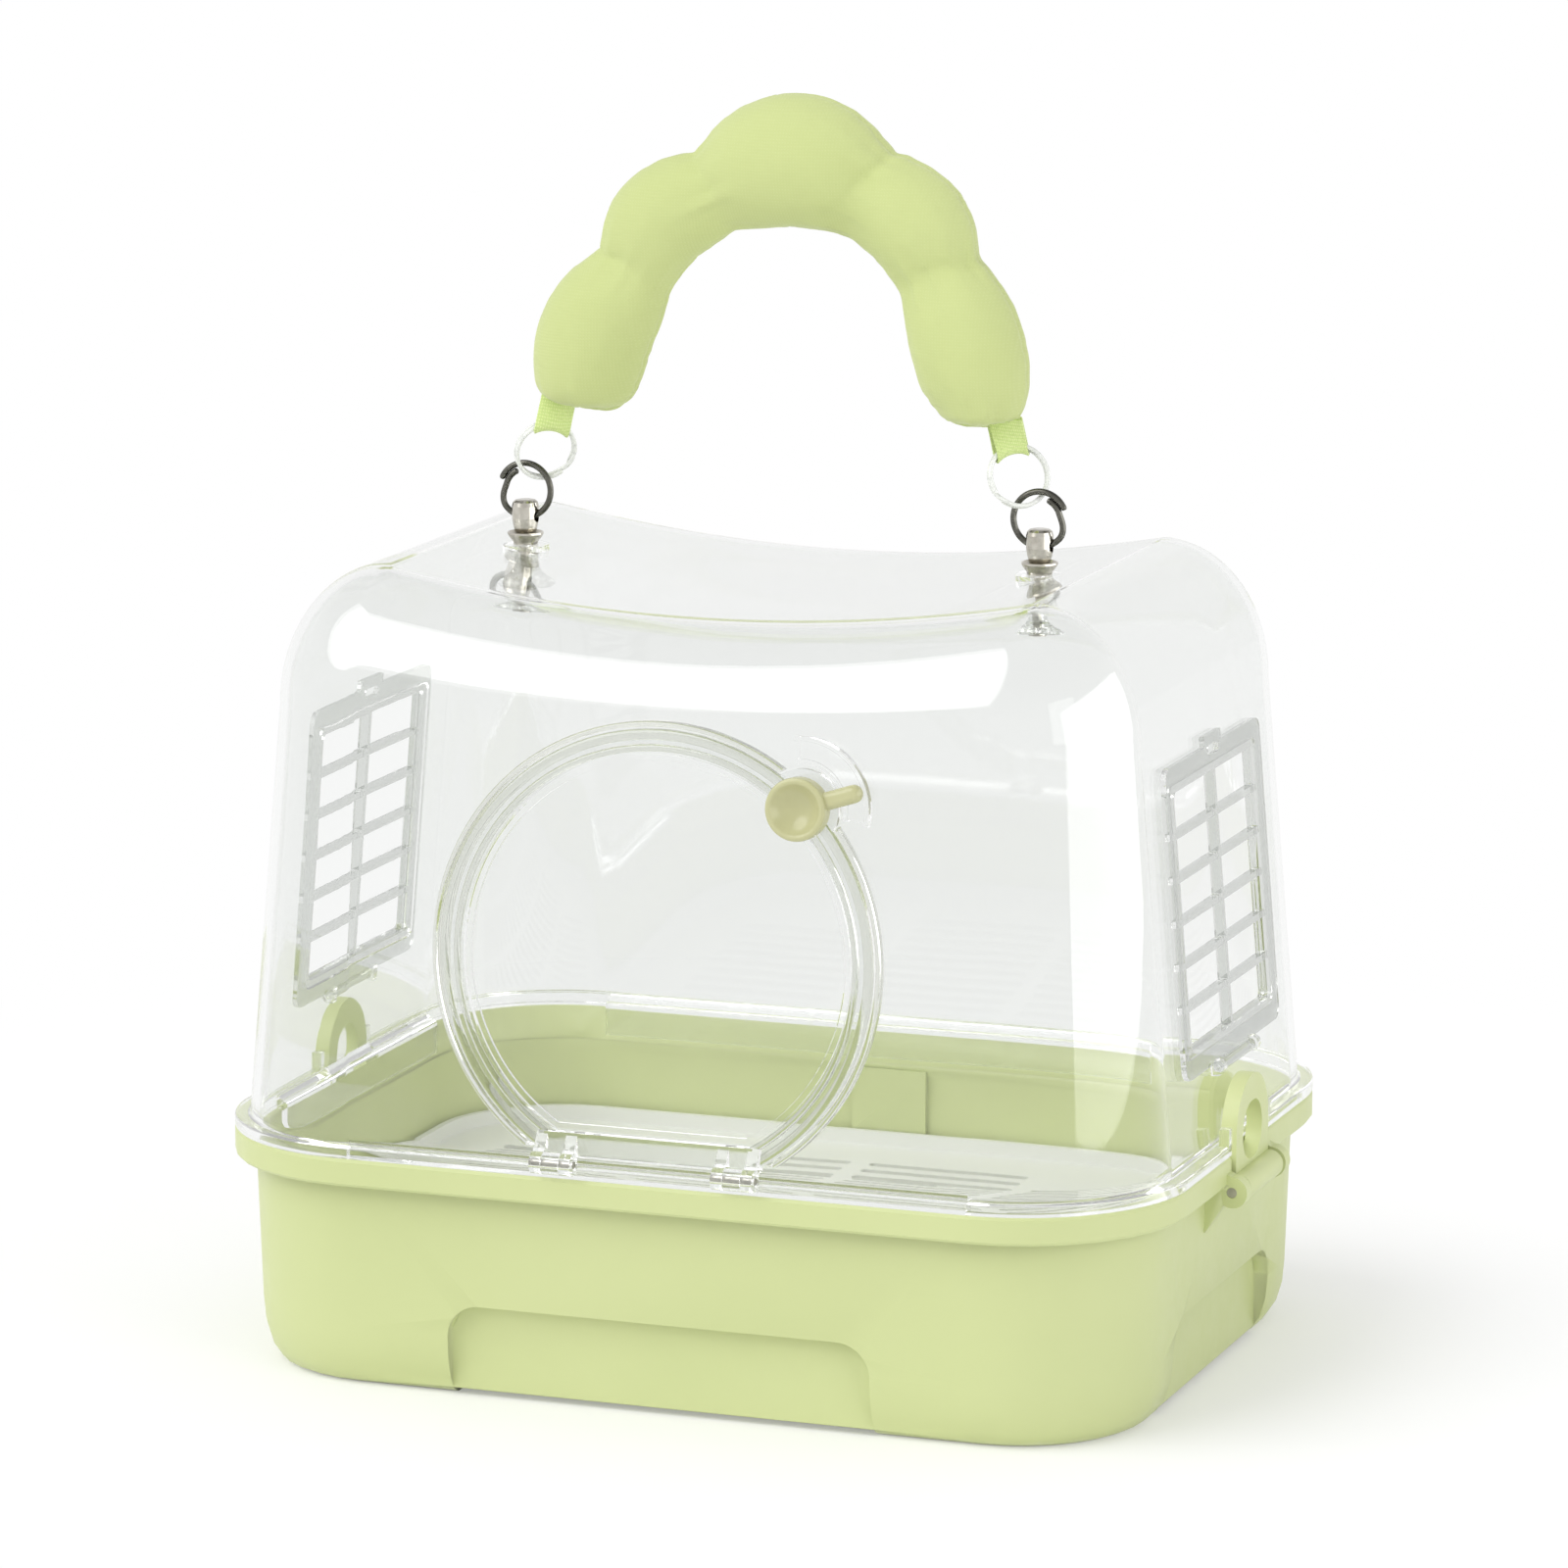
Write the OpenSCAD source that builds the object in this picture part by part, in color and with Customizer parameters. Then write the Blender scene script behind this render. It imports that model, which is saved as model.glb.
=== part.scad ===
// Travel carrier for a small bird: a pale green tub with a clear domed cover.
// Millimetres, +Z up, +X to the right, the door faces -Y.
// The origin is the centre of the footprint, on the surface that the tub stands on.

/* [Rim] */
// Length of the rim from side to side
rim_w = 290; // [250:1:350]
// Depth of the rim from front to back
rim_d = 218; // [200:1:270]
// Corner radius of the rim in plan
rim_r = 50; // [42:1:60]

/* [Tub] */
// Height of the tub from its feet to the top of its rim
tub_h = 70; // [62:1:100]
// Wall of the tub
tub_wall = 2.5; // [1.8:0.1:3.2]
// Overhang of the rim band beyond the tub's wall
band_over = 6; // [5:0.5:8]
// Height of the rim band
band_h = 8; // [6:0.5:12]
// Inward lean of the tub's wall between the band and the foot curve
tub_lean = 1.7; // [0.5:0.1:4]
// Height of the curve at the foot of the wall
foot_h = 18; // [10:1:24]
// Inward reach of the curve at the foot of the wall
foot_in = 8; // [5:0.5:12]
// Height of the low panels pressed into the four walls
panel_h = 28; // [22:1:34]
// Depth of those panels, from the face of the wall under the band
panel_in = 6; // [4:0.5:8]
// Length of the front and back panels
panel_w = 129; // [90:1:150]
// Length of the side panels
panel_d = 94; // [60:1:110]
// Height of the four corner feet below the tub's floor
feet_h = 2; // [1:0.5:4]

/* [Grate] */
// Thickness of the grate's plate
grate_t = 2.2; // [1.5:0.1:3]
// Height of the upturned edge round the grate
grate_edge = 6.5; // [4:0.5:9]
// Distance between two rows of slots
slot_pitch = 8; // [7:0.5:12]
// Width of a slot
slot_w = 3.6; // [2:0.1:5]
// Slots in a row
slot_count = 4; // [3:1:6]

/* [Dome] */
// Thickness of the clear plastic
dome_wall = 2.5; // [2:0.1:3.5]
// Thickness of the dome's foot flange
flange_t = 3.4; // [2.5:0.1:5]
// Inward lean of the dome's walls, in degrees
lean = 4.83; // [3:0.01:6.5]
// Height of the straight walls, from the flange to the start of the curve into the top
wall_rise = 121.5; // [116:0.5:140]
// Rise of that curve to the top's middle, the low point of the saddle
crown_rise = 31; // [24:0.5:36]
// Rise of the saddle towards each side
saddle = 9; // [0:0.5:14]
// Inward reach of the curve between the walls and the top
shoulder_in = 32; // [24:1:38]

/* [Door] */
// Radius of the door's disc
door_r = 65.6; // [58:0.1:68]
// Height of the door's centre above the flange
door_up = 60.5; // [58:0.5:64]
// Thickness of the door's plate
door_t = 1.7; // [1.4:0.1:2.4]
// Distance from the middle of the door to each hinge
hinge_x = 27.5; // [20:0.5:34]
// Radius of the hinge pins
hinge_pin_r = 1; // [0.8:0.1:1.4]
// Radius of the hinge knuckles
knuckle_r = 3.2; // [2.8:0.1:3.6]
// Radius of the locking knob
knob_r = 9; // [7:0.5:10]
// Reach of the knob's lever from its centre
lever_l = 19.5; // [16:0.5:22]

/* [Vents] */
// Width of a vent's frame
vent_w = 92; // [70:1:100]
// Height of a vent's frame along the wall
vent_h = 90; // [70:1:92]
// Height of a vent's middle above the flange
vent_up = 68.75; // [66:0.25:72]
// Horizontal bars across a vent
vent_bars = 5; // [3:1:7]

/* [Latches] */
// Width of a side latch
latch_w = 32; // [26:1:40]
// Height of a latch's top above the flange
latch_up = 17.5; // [14:0.5:20]
// Thickness of a latch's plate
latch_t = 4.7; // [3.5:0.1:5.5]
// Radius of the latch pins
latch_pin_r = 1.5; // [1.2:0.1:2]

/* [Handle fittings] */
// Distance from the middle to each swivel post
post_x = 80; // [70:1:88]
// Height of the axis on which the handle swings, above the dome at the posts
swing_up = 9.4; // [8.5:0.1:12]
// Radius of the swivel ring, to the middle of its wire
ring_r = 8; // [7:0.1:9]
// Radius of the swivel ring's wire
ring_wire = 1; // [0.8:0.05:1.2]
// Radius of the coated split ring, to the middle of its wire
split_r = 8.8; // [8:0.1:10]
// Radius of the split ring's wire
split_wire = 0.85; // [0.7:0.05:1]
// Turn of the split ring about the line between the two rings, in degrees
split_turn = 42; // [36:1:60]
// Width of the webbing tabs
tab_w = 11; // [8:0.5:14]

/* [Handle pad] */
// Depth of the pad, as a share of its thickness
pad_depth = 0.82; // [0.6:0.01:1]
// Tightness of the pad's seams: 1 draws them to their full depth
pad_seam = 1; // [0.5:0.05:1]

/* [Hidden] */

$fn = 96;

tub_green = [0.84, 0.88, 0.65];
clear_tint = [0.88, 0.91, 0.92, 0.4];
grate_white = [0.92, 0.93, 0.90];
knob_green = [0.85, 0.85, 0.66];
steel = [0.62, 0.61, 0.58];
pad_green = [0.74, 0.85, 0.52];

// Clearances
run_fit = 0.05;
part_gap = 0.3;
seat_gap = 0.1;

// Tub
wall_o = band_over;
band_z = tub_h - band_h;
panel_r = 10;
floor_z = feet_h + tub_wall;
grate_z = panel_h + tub_wall + seat_gap;
rim_slot_o = band_over + tub_wall + 0.1;
ledge_z = tub_h - 10;
ledge_in = 1.7;

// Dome
flange_z = tub_h + seat_gap;
foot_z = flange_z + flange_t;
foot_o = 4.5;
top_min_r = 4;
saddle_x = rim_w / 2 - 50;
shoulder_z = foot_z + wall_rise;
crown_z = shoulder_z + crown_rise;
skirt_t = 2;
skirt_z = ledge_z + 2;

// Door
door_z = foot_z + door_up;
door_y = -(rim_d / 2 - wall_in(door_z));
open_r = 59;
plate_z = part_gap;
bead_top = 2.9;
bead_w = 3.1;
collar_in = door_r + 0.6;
collar_t = 1.6;
door_foot = -(door_z - foot_z - 3.4) / cos(lean);
open_foot = door_foot + 6;
knob_x = 42.8;
knob_y = 46.2;
lever_z = bead_top + 0.2;
lever_turn = 18;
lever_r = 2.6;
lever_from = 3;
guide_in = 12.6;
guide_out = 20;
guide_lip = 1.2;
guide_from = -12;
guide_to = 97;
shaft_r = 2.6;
lobe_r = 11;
pivot_out = 1.9;
pivot_y = -(rim_d / 2 + pivot_out);
pivot_z = foot_z + 1.5;
lug_w = 5.2;
fork_w = 3.4;
fork_gap = 0.2;
fork_x = (lug_w + fork_w) / 2 + fork_gap;

// Vents
vent_z = foot_z + vent_up;
vent_x = rim_w / 2 - wall_in(vent_z);
vent_hole_w = vent_w - 8;
vent_hole_h = vent_h - 10;
vent_axis_y = -vent_h / 2 - 1.6;
vent_axis_z = 1.9;
vent_barrel_r = 1.7;
vent_pin_r = 1;
vent_barrel_w = 30;
vent_ear_w = 3;
vent_ear_x = vent_barrel_w / 2 + part_gap + vent_ear_w / 2;

// Latches
latch_x = rim_w / 2 - 3.7;
latch_axis_x = latch_x + 5.2;
latch_axis_z = band_z - 1.5;
latch_knuckle_r = 4.2;
latch_top = foot_z + latch_up;
notch_w = latch_w + 2.6;
lip_x = latch_x - 0.2;
ear_w = 4.6;

// Handle fittings
post_z = top_z(post_x);
swing_z = post_z + swing_up;
boss_r = 7;
boss_top = post_z + 0.9;
spindle_r = 1.7;
head_r = 4;
head_bore = 1.95;
head_z = swing_z - 5.3;
head_top = swing_z + 4.8;
bush_r = 3.4;
bush_flare = 8.8;
bush_z = post_z - 13.5;
ring_drop = 0.45;
ring_z = swing_z - ring_drop + ring_r;
split_x = post_x - 6.5;
split_z = ring_z + 12.2;
link_turn = atan2(post_x - split_x, split_z - ring_z);
tab_lean = 17;
tab_in = 4.6;
tab_ply = 3.4;
pad_foot = 34.8;
tab_top = swing_z + pad_foot - 0.4;

// Stations of the handle pad from its left end to its right end: x as a share of post_x,
// height above the swing axis, half thickness, direction of the pad there in degrees
pad_stations = [
    [-0.775, pad_foot, 12.5, 84], [-0.73, 50.2, 19, 72], [-0.55, 75.4, 10.8, 60],
    [-0.46, 89.2, 16.4, 45], [-0.231, 98.6, 11.9, 26], [0.075, 108.7, 19.8, 0],
    [0.339, 99.8, 13.4, -27], [0.53, 91.6, 17.4, -45], [0.615, 78.6, 12.2, -64],
    [0.7325, 55.2, 18.6, -76], [0.7875, pad_foot, 11.5, -86]
];
pad_steps = 5;
pad_sides = 20;

// Inward distance of the dome's wall from the rim's edge at height z
function wall_in(z) = foot_o + (z - foot_z) * tan(lean);

// Height of the dome's top at distance x from the middle
function top_z(x) = crown_z + saddle * pow(min(abs(x), saddle_x + 3) / saddle_x, 2);

// Points of a rounded rectangle, anticlockwise from its right side, with extra points
// along its front and back, in n steps a corner
function plan(w, d, r, n, m) =
    let (cx = w / 2 - r, cy = d / 2 - r)
    concat(
        [for (i = [0:n]) [cx + r * cos(90 * i / n), cy + r * sin(90 * i / n)]],
        [for (i = [1:1:m]) [cx - 2 * cx * i / (m + 1), cy + r]],
        [for (i = [0:n]) [-cx - r * sin(90 * i / n), cy + r * cos(90 * i / n)]],
        [for (i = [0:n]) [-cx - r * cos(90 * i / n), -cy - r * sin(90 * i / n)]],
        [for (i = [1:1:m]) [-cx + 2 * cx * i / (m + 1), -cy - r]],
        [for (i = [0:n]) [cx + r * sin(90 * i / n), -cy - r * cos(90 * i / n)]]
    );

// Plan of the carrier drawn in by o from the edge of its rim
function plan_in(o, n, m) =
    plan(rim_w - 2 * o, rim_d - 2 * o, max(rim_r - o, top_min_r), n, m);

// Faces that close a stack of rings of n points. The first and last rings are closed
// by strips between opposite points, so they need not be flat.
function stack_faces(n, rings) = concat(
    [for (k = [0:rings - 2]) for (i = [0:n - 1]) [k * n + i, (k + 1) * n + i, (k + 1) * n + (i + 1) % n]],
    [for (k = [0:rings - 2]) for (i = [0:n - 1]) [k * n + i, (k + 1) * n + (i + 1) % n, k * n + (i + 1) % n]],
    [for (i = [0:n / 2 - 2]) [i, i + 1, n - 2 - i]],
    [for (i = [0:n / 2 - 3]) [i, n - 2 - i, n - 1 - i]],
    [[n / 2 - 2, n / 2, n / 2 + 1]],
    [for (i = [0:n / 2 - 2]) [(rings - 1) * n + i + 1, (rings - 1) * n + i, (rings - 1) * n + n - 2 - i]],
    [for (i = [0:n / 2 - 3]) [(rings - 1) * n + n - 2 - i, (rings - 1) * n + i, (rings - 1) * n + n - 1 - i]],
    [[(rings - 1) * n + n / 2, (rings - 1) * n + n / 2 - 2, (rings - 1) * n + n / 2 + 1]]
);

module stack(rings) {
    n = len(rings[0]);
    polyhedron(points = [for (r = rings) for (p = r) p], faces = stack_faces(n, len(rings)));
}

// A flat ring of the carrier's plan, drawn in by o, at height z
function ring_at(o, z, n) = [for (p = plan_in(o, n, 0)) [p[0], p[1], z]];

// A ring of the dome's curved shoulder, a degrees up from the wall, offset inwards by t
function shoulder_ring(a, t, n, m) =
    let (o = wall_in(shoulder_z) + shoulder_in * (1 - cos(a)) + t * cos(a))
    [for (p = plan_in(o, n, m))
        [p[0], p[1], shoulder_z + (top_z(p[0]) - shoulder_z) * sin(a) - t * sin(a)]];

// A flat ring of the dome with the same number of points as its shoulder
function dome_ring(o, z, n, m) = [for (p = plan_in(o, n, m)) [p[0], p[1], z]];

// A rounded rectangle made of squares and circles, centred
module soft_rect(w, h, r) {
    square([w - 2 * r, h], center = true);
    square([w, h - 2 * r], center = true);
    for (sx = [-1, 1], sy = [-1, 1])
        translate([sx * (w / 2 - r), sy * (h / 2 - r)])
            circle(r, $fn = 32);
}

// Places children on the front wall: local z points out of the wall, local y up it
module on_front() {
    translate([0, door_y, door_z])
        rotate([90 - lean, 0, 0])
            children();
}

// Places children on a side wall, s = 1 for the right: local z points out of the wall,
// local y up it
module on_side(s) {
    translate([s * vent_x, 0, vent_z])
        rotate([0, 0, s * 90])
            rotate([90 - lean, 0, 0])
                children();
}

module tub_shell() {
    corner = 8;
    stack(concat(
        [for (a = [90:-22.5:0])
            ring_at(wall_o + tub_lean + foot_in * (1 - cos(a)), foot_h * (1 - sin(a)), corner)],
        [
            ring_at(wall_o, tub_h - 2, corner),
            ring_at(2, tub_h - 2, corner),
            ring_at(2, band_z, corner),
            ring_at(0.6, band_z, corner),
            ring_at(0, band_z + 0.8, corner),
            ring_at(0, tub_h - 0.8, corner),
            ring_at(0.8, tub_h, corner),
            ring_at(rim_slot_o, tub_h, corner),
            ring_at(rim_slot_o, ledge_z, corner),
            ring_at(rim_slot_o + ledge_in, ledge_z, corner),
            ring_at(wall_o + tub_wall + 0.4, ledge_z - 4, corner)
        ],
        [for (a = [0:30:90])
            ring_at(
                wall_o + tub_lean + tub_wall + (foot_in - 2) * (1 - cos(a)),
                floor_z + (foot_h - floor_z) * (1 - sin(a)),
                corner
            )]
    ));
}

// Section of the ledge behind a pressed panel; h is the half width of the wall there
module panel_back(h) {
    polygon([
        [h - 3, panel_h + tub_wall], [h - panel_in - tub_wall, panel_h + tub_wall],
        [h - panel_in - tub_wall, floor_z - 1], [h - panel_in - 0.2, floor_z - 1],
        [h - panel_in + 0.6, feet_h + 4], [h - 3, foot_h - 4]
    ]);
}

module panel_outline(w) {
    translate([0, panel_h / 2 - 5])
        soft_rect(w, panel_h + 10, panel_r);
}

module latch_ears() {
    for (s = [-1, 1])
        translate([latch_axis_x, s * (notch_w / 2 + ear_w / 2), latch_axis_z])
            rotate([90, 0, 0])
                linear_extrude(ear_w, center = true) {
                    circle(latch_knuckle_r + 0.4, $fn = 48);
                    polygon([
                        [0, latch_knuckle_r + 0.4], [-9, 9.2], [-10.4, 9.2],
                        [-8.9, -12.5], [-7.8, -12.5], [-2.6, -3.8]
                    ]);
                }
}

module base_tub() {
    front_h = rim_d / 2 - wall_o;
    side_h = rim_w / 2 - wall_o;
    color(tub_green)
        difference() {
            union() {
                tub_shell();
                for (s = [0, 180])
                    rotate([0, 0, s])
                        translate([-(panel_w / 2 + tub_wall), 0, 0])
                            rotate([90, 0, 90])
                                linear_extrude(panel_w + 2 * tub_wall)
                                    panel_back(front_h);
                for (s = [0, 180])
                    rotate([0, 0, s])
                        translate([0, panel_d / 2 + tub_wall, 0])
                            rotate([90, 0, 0])
                                linear_extrude(panel_d + 2 * tub_wall)
                                    panel_back(side_h);
                latch_ears();
                mirror([1, 0, 0])
                    latch_ears();
                translate([0, rim_d / 2 - wall_o - tub_wall - 0.9, (grate_z + grate_edge + ledge_z) / 2])
                    cube([24, 3, ledge_z - grate_z - grate_edge - 3], center = true);
            }
            for (s = [0, 180])
                rotate([0, 0, s])
                    translate([0, -(front_h - panel_in), 0])
                        rotate([90, 0, 0])
                            linear_extrude(20)
                                panel_outline(panel_w);
            for (s = [0, 180])
                rotate([0, 0, s])
                    translate([side_h - panel_in, 0, 0])
                        rotate([90, 0, 90])
                            linear_extrude(20)
                                panel_outline(panel_d);
            translate([0, 0, feet_h / 2 - 5])
                cube([panel_w, rim_d, feet_h + 10], center = true);
            translate([0, 0, feet_h / 2 - 5])
                cube([rim_w, panel_d, feet_h + 10], center = true);
            for (s = [-1, 1]) {
                translate([s * (latch_x - 0.3 + 10), 0, tub_h])
                    cube([20, notch_w, 2 * band_h + 2], center = true);
                translate([s * latch_axis_x, 0, latch_axis_z])
                    rotate([90, 0, 0]) {
                        cylinder(h = notch_w, r = latch_knuckle_r + 0.5, center = true, $fn = 48);
                        cylinder(h = notch_w + 2 * ear_w + 2, r = latch_pin_r + run_fit, center = true, $fn = 32);
                    }
            }
        }
}

module grate_slots() {
    rows = floor((rim_d / 2 - 31) / slot_pitch);
    run = (rim_w - 62) / slot_count;
    for (j = [-rows:rows]) {
        cut = abs(j) > rows - 2 ? 1 : 0;
        for (i = [cut:slot_count - 1 - cut])
            translate([(i - (slot_count - 1) / 2) * run, j * slot_pitch])
                soft_rect(run - 6, slot_w, slot_w / 2 - 0.01);
    }
}

module floor_grate() {
    grate_o = wall_o + tub_lean + tub_wall + 1.2;
    w = rim_w - 2 * grate_o;
    d = rim_d - 2 * grate_o;
    r = rim_r - grate_o;
    color(grate_white)
        translate([0, 0, grate_z]) {
            translate([0, 0, 2])
                linear_extrude(grate_t)
                    difference() {
                        soft_rect(w - 1, d - 1, r - 0.5);
                        grate_slots();
                    }
            linear_extrude(grate_edge + 2)
                difference() {
                    soft_rect(w, d, r);
                    soft_rect(w - 4, d - 4, r - 2);
                }
        }
}

module dome_shell() {
    corner = 8;
    extra = 11;
    inner = dome_wall;
    stack(concat(
        [for (a = [90:-15:0]) shoulder_ring(a, inner, corner, extra)],
        [
            dome_ring(foot_o + inner, foot_z + 1, corner, extra),
            dome_ring(foot_o + inner, flange_z, corner, extra),
            dome_ring(0.5, flange_z, corner, extra),
            dome_ring(0, flange_z + 0.5, corner, extra),
            dome_ring(0, foot_z - 0.6, corner, extra),
            dome_ring(0.6, foot_z, corner, extra),
            dome_ring(foot_o - 0.7, foot_z, corner, extra),
            dome_ring(foot_o + 0.06, foot_z + 0.8, corner, extra)
        ],
        [for (a = [0:15:90]) shoulder_ring(a, 0, corner, extra)]
    ));
}

// Ribs under the straight sides of the dome, which find their place inside the tub's rim
module skirt_ribs() {
    from = rim_slot_o + part_gap;
    to = from + skirt_t;
    top = foot_z - 2;
    for (turn = [0:90:270]) {
        half = turn % 180 == 0 ? rim_w / 2 : rim_d / 2;
        side = turn % 180 == 0 ? rim_d : rim_w;
        rotate([0, 0, turn])
            translate([half, 0, 0])
                rotate([90, 0, 0])
                    linear_extrude(side - 2 * rim_r - 2, center = true)
                        polygon([
                            [-from, skirt_z], [-from, flange_z], [-foot_o - 0.6, flange_z],
                            [-foot_o - 0.6, top + 4], [-to, top], [-to, skirt_z]
                        ]);
    }
}

// Half plane above height y, used to cut a disc flat at its foot
module above(y) {
    translate([-200, y])
        square([400, 400]);
}

module door_outline(r, foot) {
    intersection() {
        circle(r, $fn = 128);
        above(foot);
    }
}

module sector(r_in, r_out, a0, a1) {
    steps = 12;
    difference() {
        intersection() {
            circle(r_out, $fn = 96);
            polygon(concat([[0, 0]], [for (i = [0:steps])
                2 * r_out * [cos(a0 + (a1 - a0) * i / steps), sin(a0 + (a1 - a0) * i / steps)]]));
        }
        circle(r_in, $fn = 96);
    }
}

// Collar round the door's opening and the guide that the lever runs on
module door_collar() {
    translate([0, 0, -dome_wall / 2]) {
        linear_extrude(bead_top + dome_wall / 2)
            difference() {
                door_outline(collar_in + collar_t, door_foot + 1.5);
                door_outline(collar_in, door_foot - 1);
                translate([knob_x, knob_y])
                    circle(lobe_r + 0.8, $fn = 64);
            }
        linear_extrude(bead_top - 0.7 + dome_wall / 2)
            translate([knob_x, knob_y])
                sector(guide_in, guide_out, guide_from + 2, guide_to - 2);
        linear_extrude(bead_top + dome_wall / 2)
            translate([knob_x, knob_y]) {
                sector(guide_in, guide_in + guide_lip, guide_from, guide_to);
                sector(guide_out - guide_lip, guide_out, guide_from, guide_to);
            }
    }
}

// Lug of the dome in the middle of one hinge, in section: x is forward of the pin
module lug_section() {
    circle(knuckle_r, $fn = 48);
    polygon([
        [0, 1.4], [-8, 0.4], [-8, -knuckle_r], [0, -knuckle_r]
    ]);
}

// Arm of the door beside the lug, in section
module fork_section() {
    circle(knuckle_r, $fn = 48);
    polygon([
        [0, knuckle_r], [-4, 8.5], [-6.4, 8.5], [-6.4, 1.6], [-3, 1.6]
    ]);
}

// Extrudes a section along X at the door's hinge axis; the section's +x points to -Y
module along_hinge(x, w) {
    translate([x, pivot_y, pivot_z])
        rotate([90, 0, -90])
            linear_extrude(w, center = true)
                children();
}

module vent_ears(s) {
    on_side(s)
        for (k = [-1, 1])
            translate([k * vent_ear_x, vent_axis_y, 0])
                rotate([0, 90, 0])
                    linear_extrude(vent_ear_w, center = true)
                        difference() {
                            union() {
                                translate([-vent_axis_z, 0])
                                    circle(vent_barrel_r + 0.6, $fn = 40);
                                translate([-vent_axis_z, -vent_barrel_r - 0.6])
                                    square([vent_axis_z + 1, 2 * vent_barrel_r + 1.2]);
                            }
                            translate([-vent_axis_z, 0])
                                circle(vent_pin_r + run_fit, $fn = 24);
                        }
}

module dome() {
    color(clear_tint)
        difference() {
            union() {
                dome_shell();
                skirt_ribs();
                on_front()
                    door_collar();
                for (s = [-1, 1]) {
                    along_hinge(s * hinge_x, lug_w)
                        lug_section();
                    vent_ears(s);
                    translate([s * post_x, 0, post_z - dome_wall - 0.8])
                        cylinder(h = boss_top - post_z + dome_wall + 0.8, r = boss_r, $fn = 64);
                }
            }
            on_front() {
                translate([0, 0, -20])
                    linear_extrude(19.9 + plate_z) {
                        door_outline(open_r, open_foot);
                        translate([knob_x, knob_y])
                            circle(7.5, $fn = 48);
                    }
            }
            for (s = [-1, 1]) {
                on_side(s)
                    translate([0, 0, -8])
                        linear_extrude(12)
                            soft_rect(vent_hole_w, vent_hole_h, 3);
                translate([s * post_x, 0, post_z - 10])
                    cylinder(h = 20, r = spindle_r + run_fit, $fn = 48);
                translate([s * (lip_x + 10), 0, foot_z])
                    cube([20, rim_d, 20], center = true);
                along_hinge(s * hinge_x, lug_w + 1)
                    circle(hinge_pin_r + run_fit, $fn = 32);
                for (k = [-1, 1])
                    along_hinge(s * hinge_x + k * fork_x, fork_w + 2 * fork_gap)
                        circle(knuckle_r + part_gap, $fn = 48);
            }
        }
}

// Outer edge of the dome's flange on side s, before (k = -1) or behind the latch's notch,
// with the block that guides the latch
module dome_lip(s, k) {
    color(clear_tint) {
        intersection() {
            dome_shell();
            translate([s * (lip_x + 10), k * (notch_w / 2 + rim_d / 2), foot_z])
                cube([20, rim_d, 20], center = true);
        }
        translate([s * (latch_x + 2.3), k * (notch_w / 2 + 1.6), foot_z + 2])
            cube([3, 3, 6], center = true);
    }
}

module door_panel() {
    color(clear_tint)
        difference() {
            union() {
                on_front() {
                    translate([0, 0, plate_z])
                        linear_extrude(door_t) {
                            door_outline(door_r, door_foot);
                            translate([knob_x, knob_y])
                                circle(lobe_r, $fn = 64);
                        }
                    translate([0, 0, plate_z])
                        linear_extrude(bead_top - plate_z) {
                            difference() {
                                door_outline(door_r, door_foot);
                                door_outline(door_r - bead_w, door_foot + bead_w);
                            }
                            difference() {
                                door_outline(door_r - 7.5, door_foot + 7.5);
                                door_outline(door_r - 9.3, door_foot + 9.3);
                            }
                        }
                    translate([0, 0, -1])
                        linear_extrude(1 + plate_z + 0.2)
                            difference() {
                                door_outline(open_r - 0.7, open_foot + 0.7);
                                door_outline(open_r - 2.5, open_foot + 2.5);
                                translate([knob_x, knob_y])
                                    circle(8, $fn = 48);
                            }
                }
                translate([0, pivot_y + 4.8, pivot_z + 5])
                    cube([2 * hinge_x + 8, 2.8, 7], center = true);
                for (s = [-1, 1], k = [-1, 1])
                    along_hinge(s * hinge_x + k * fork_x, fork_w)
                        fork_section();
            }
            on_front()
                translate([knob_x, knob_y, -5])
                    cylinder(h = 12, r = shaft_r + run_fit, $fn = 48);
            for (s = [-1, 1])
                along_hinge(s * hinge_x, lug_w + 2 * fork_w + 2)
                    circle(hinge_pin_r + run_fit, $fn = 32);
        }
}

module door_hinge_pin(s) {
    color(steel)
        along_hinge(s * hinge_x, lug_w + 2 * fork_w + 1)
            circle(hinge_pin_r, $fn = 32);
}

module door_knob() {
    color(knob_green)
        on_front()
            translate([knob_x, knob_y, 0])
                difference() {
                    union() {
                        translate([0, 0, lever_z])
                            rotate_extrude($fn = 96)
                                polygon([
                                    [0, 0], [knob_r - 0.6, 0], [knob_r, 0.6], [knob_r, 4.6],
                                    [knob_r - 0.7, 5.4], [knob_r - 1.6, 5.4], [knob_r - 2.8, 4.6],
                                    [knob_r / 2, 3.5], [knob_r / 4, 3.2], [0, 3.2]
                                ]);
                        rotate([0, 0, lever_turn])
                            translate([0, 0, lever_z + 0.2])
                                linear_extrude(3.7) {
                                    translate([lever_from, -lever_r])
                                        square([lever_l - lever_r - lever_from, 2 * lever_r]);
                                    translate([lever_l - lever_r, 0])
                                        circle(lever_r, $fn = 48);
                                }
                        translate([0, 0, plate_z - 0.2])
                            cylinder(h = lever_z - plate_z + 0.4, r = shaft_r, $fn = 48);
                    }
                    translate([0, 0, -1])
                        cylinder(h = 5, r = 1.25, $fn = 24);
                }
}

module knob_screw() {
    color(steel)
        on_front()
            translate([knob_x, knob_y, 0]) {
                translate([0, 0, plate_z - 0.25 - 1.6])
                    cylinder(h = 1.6, r = 4.6, $fn = 48);
                translate([0, 0, plate_z - 1])
                    cylinder(h = 4.2, r = 1.2, $fn = 24);
            }
}

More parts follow.
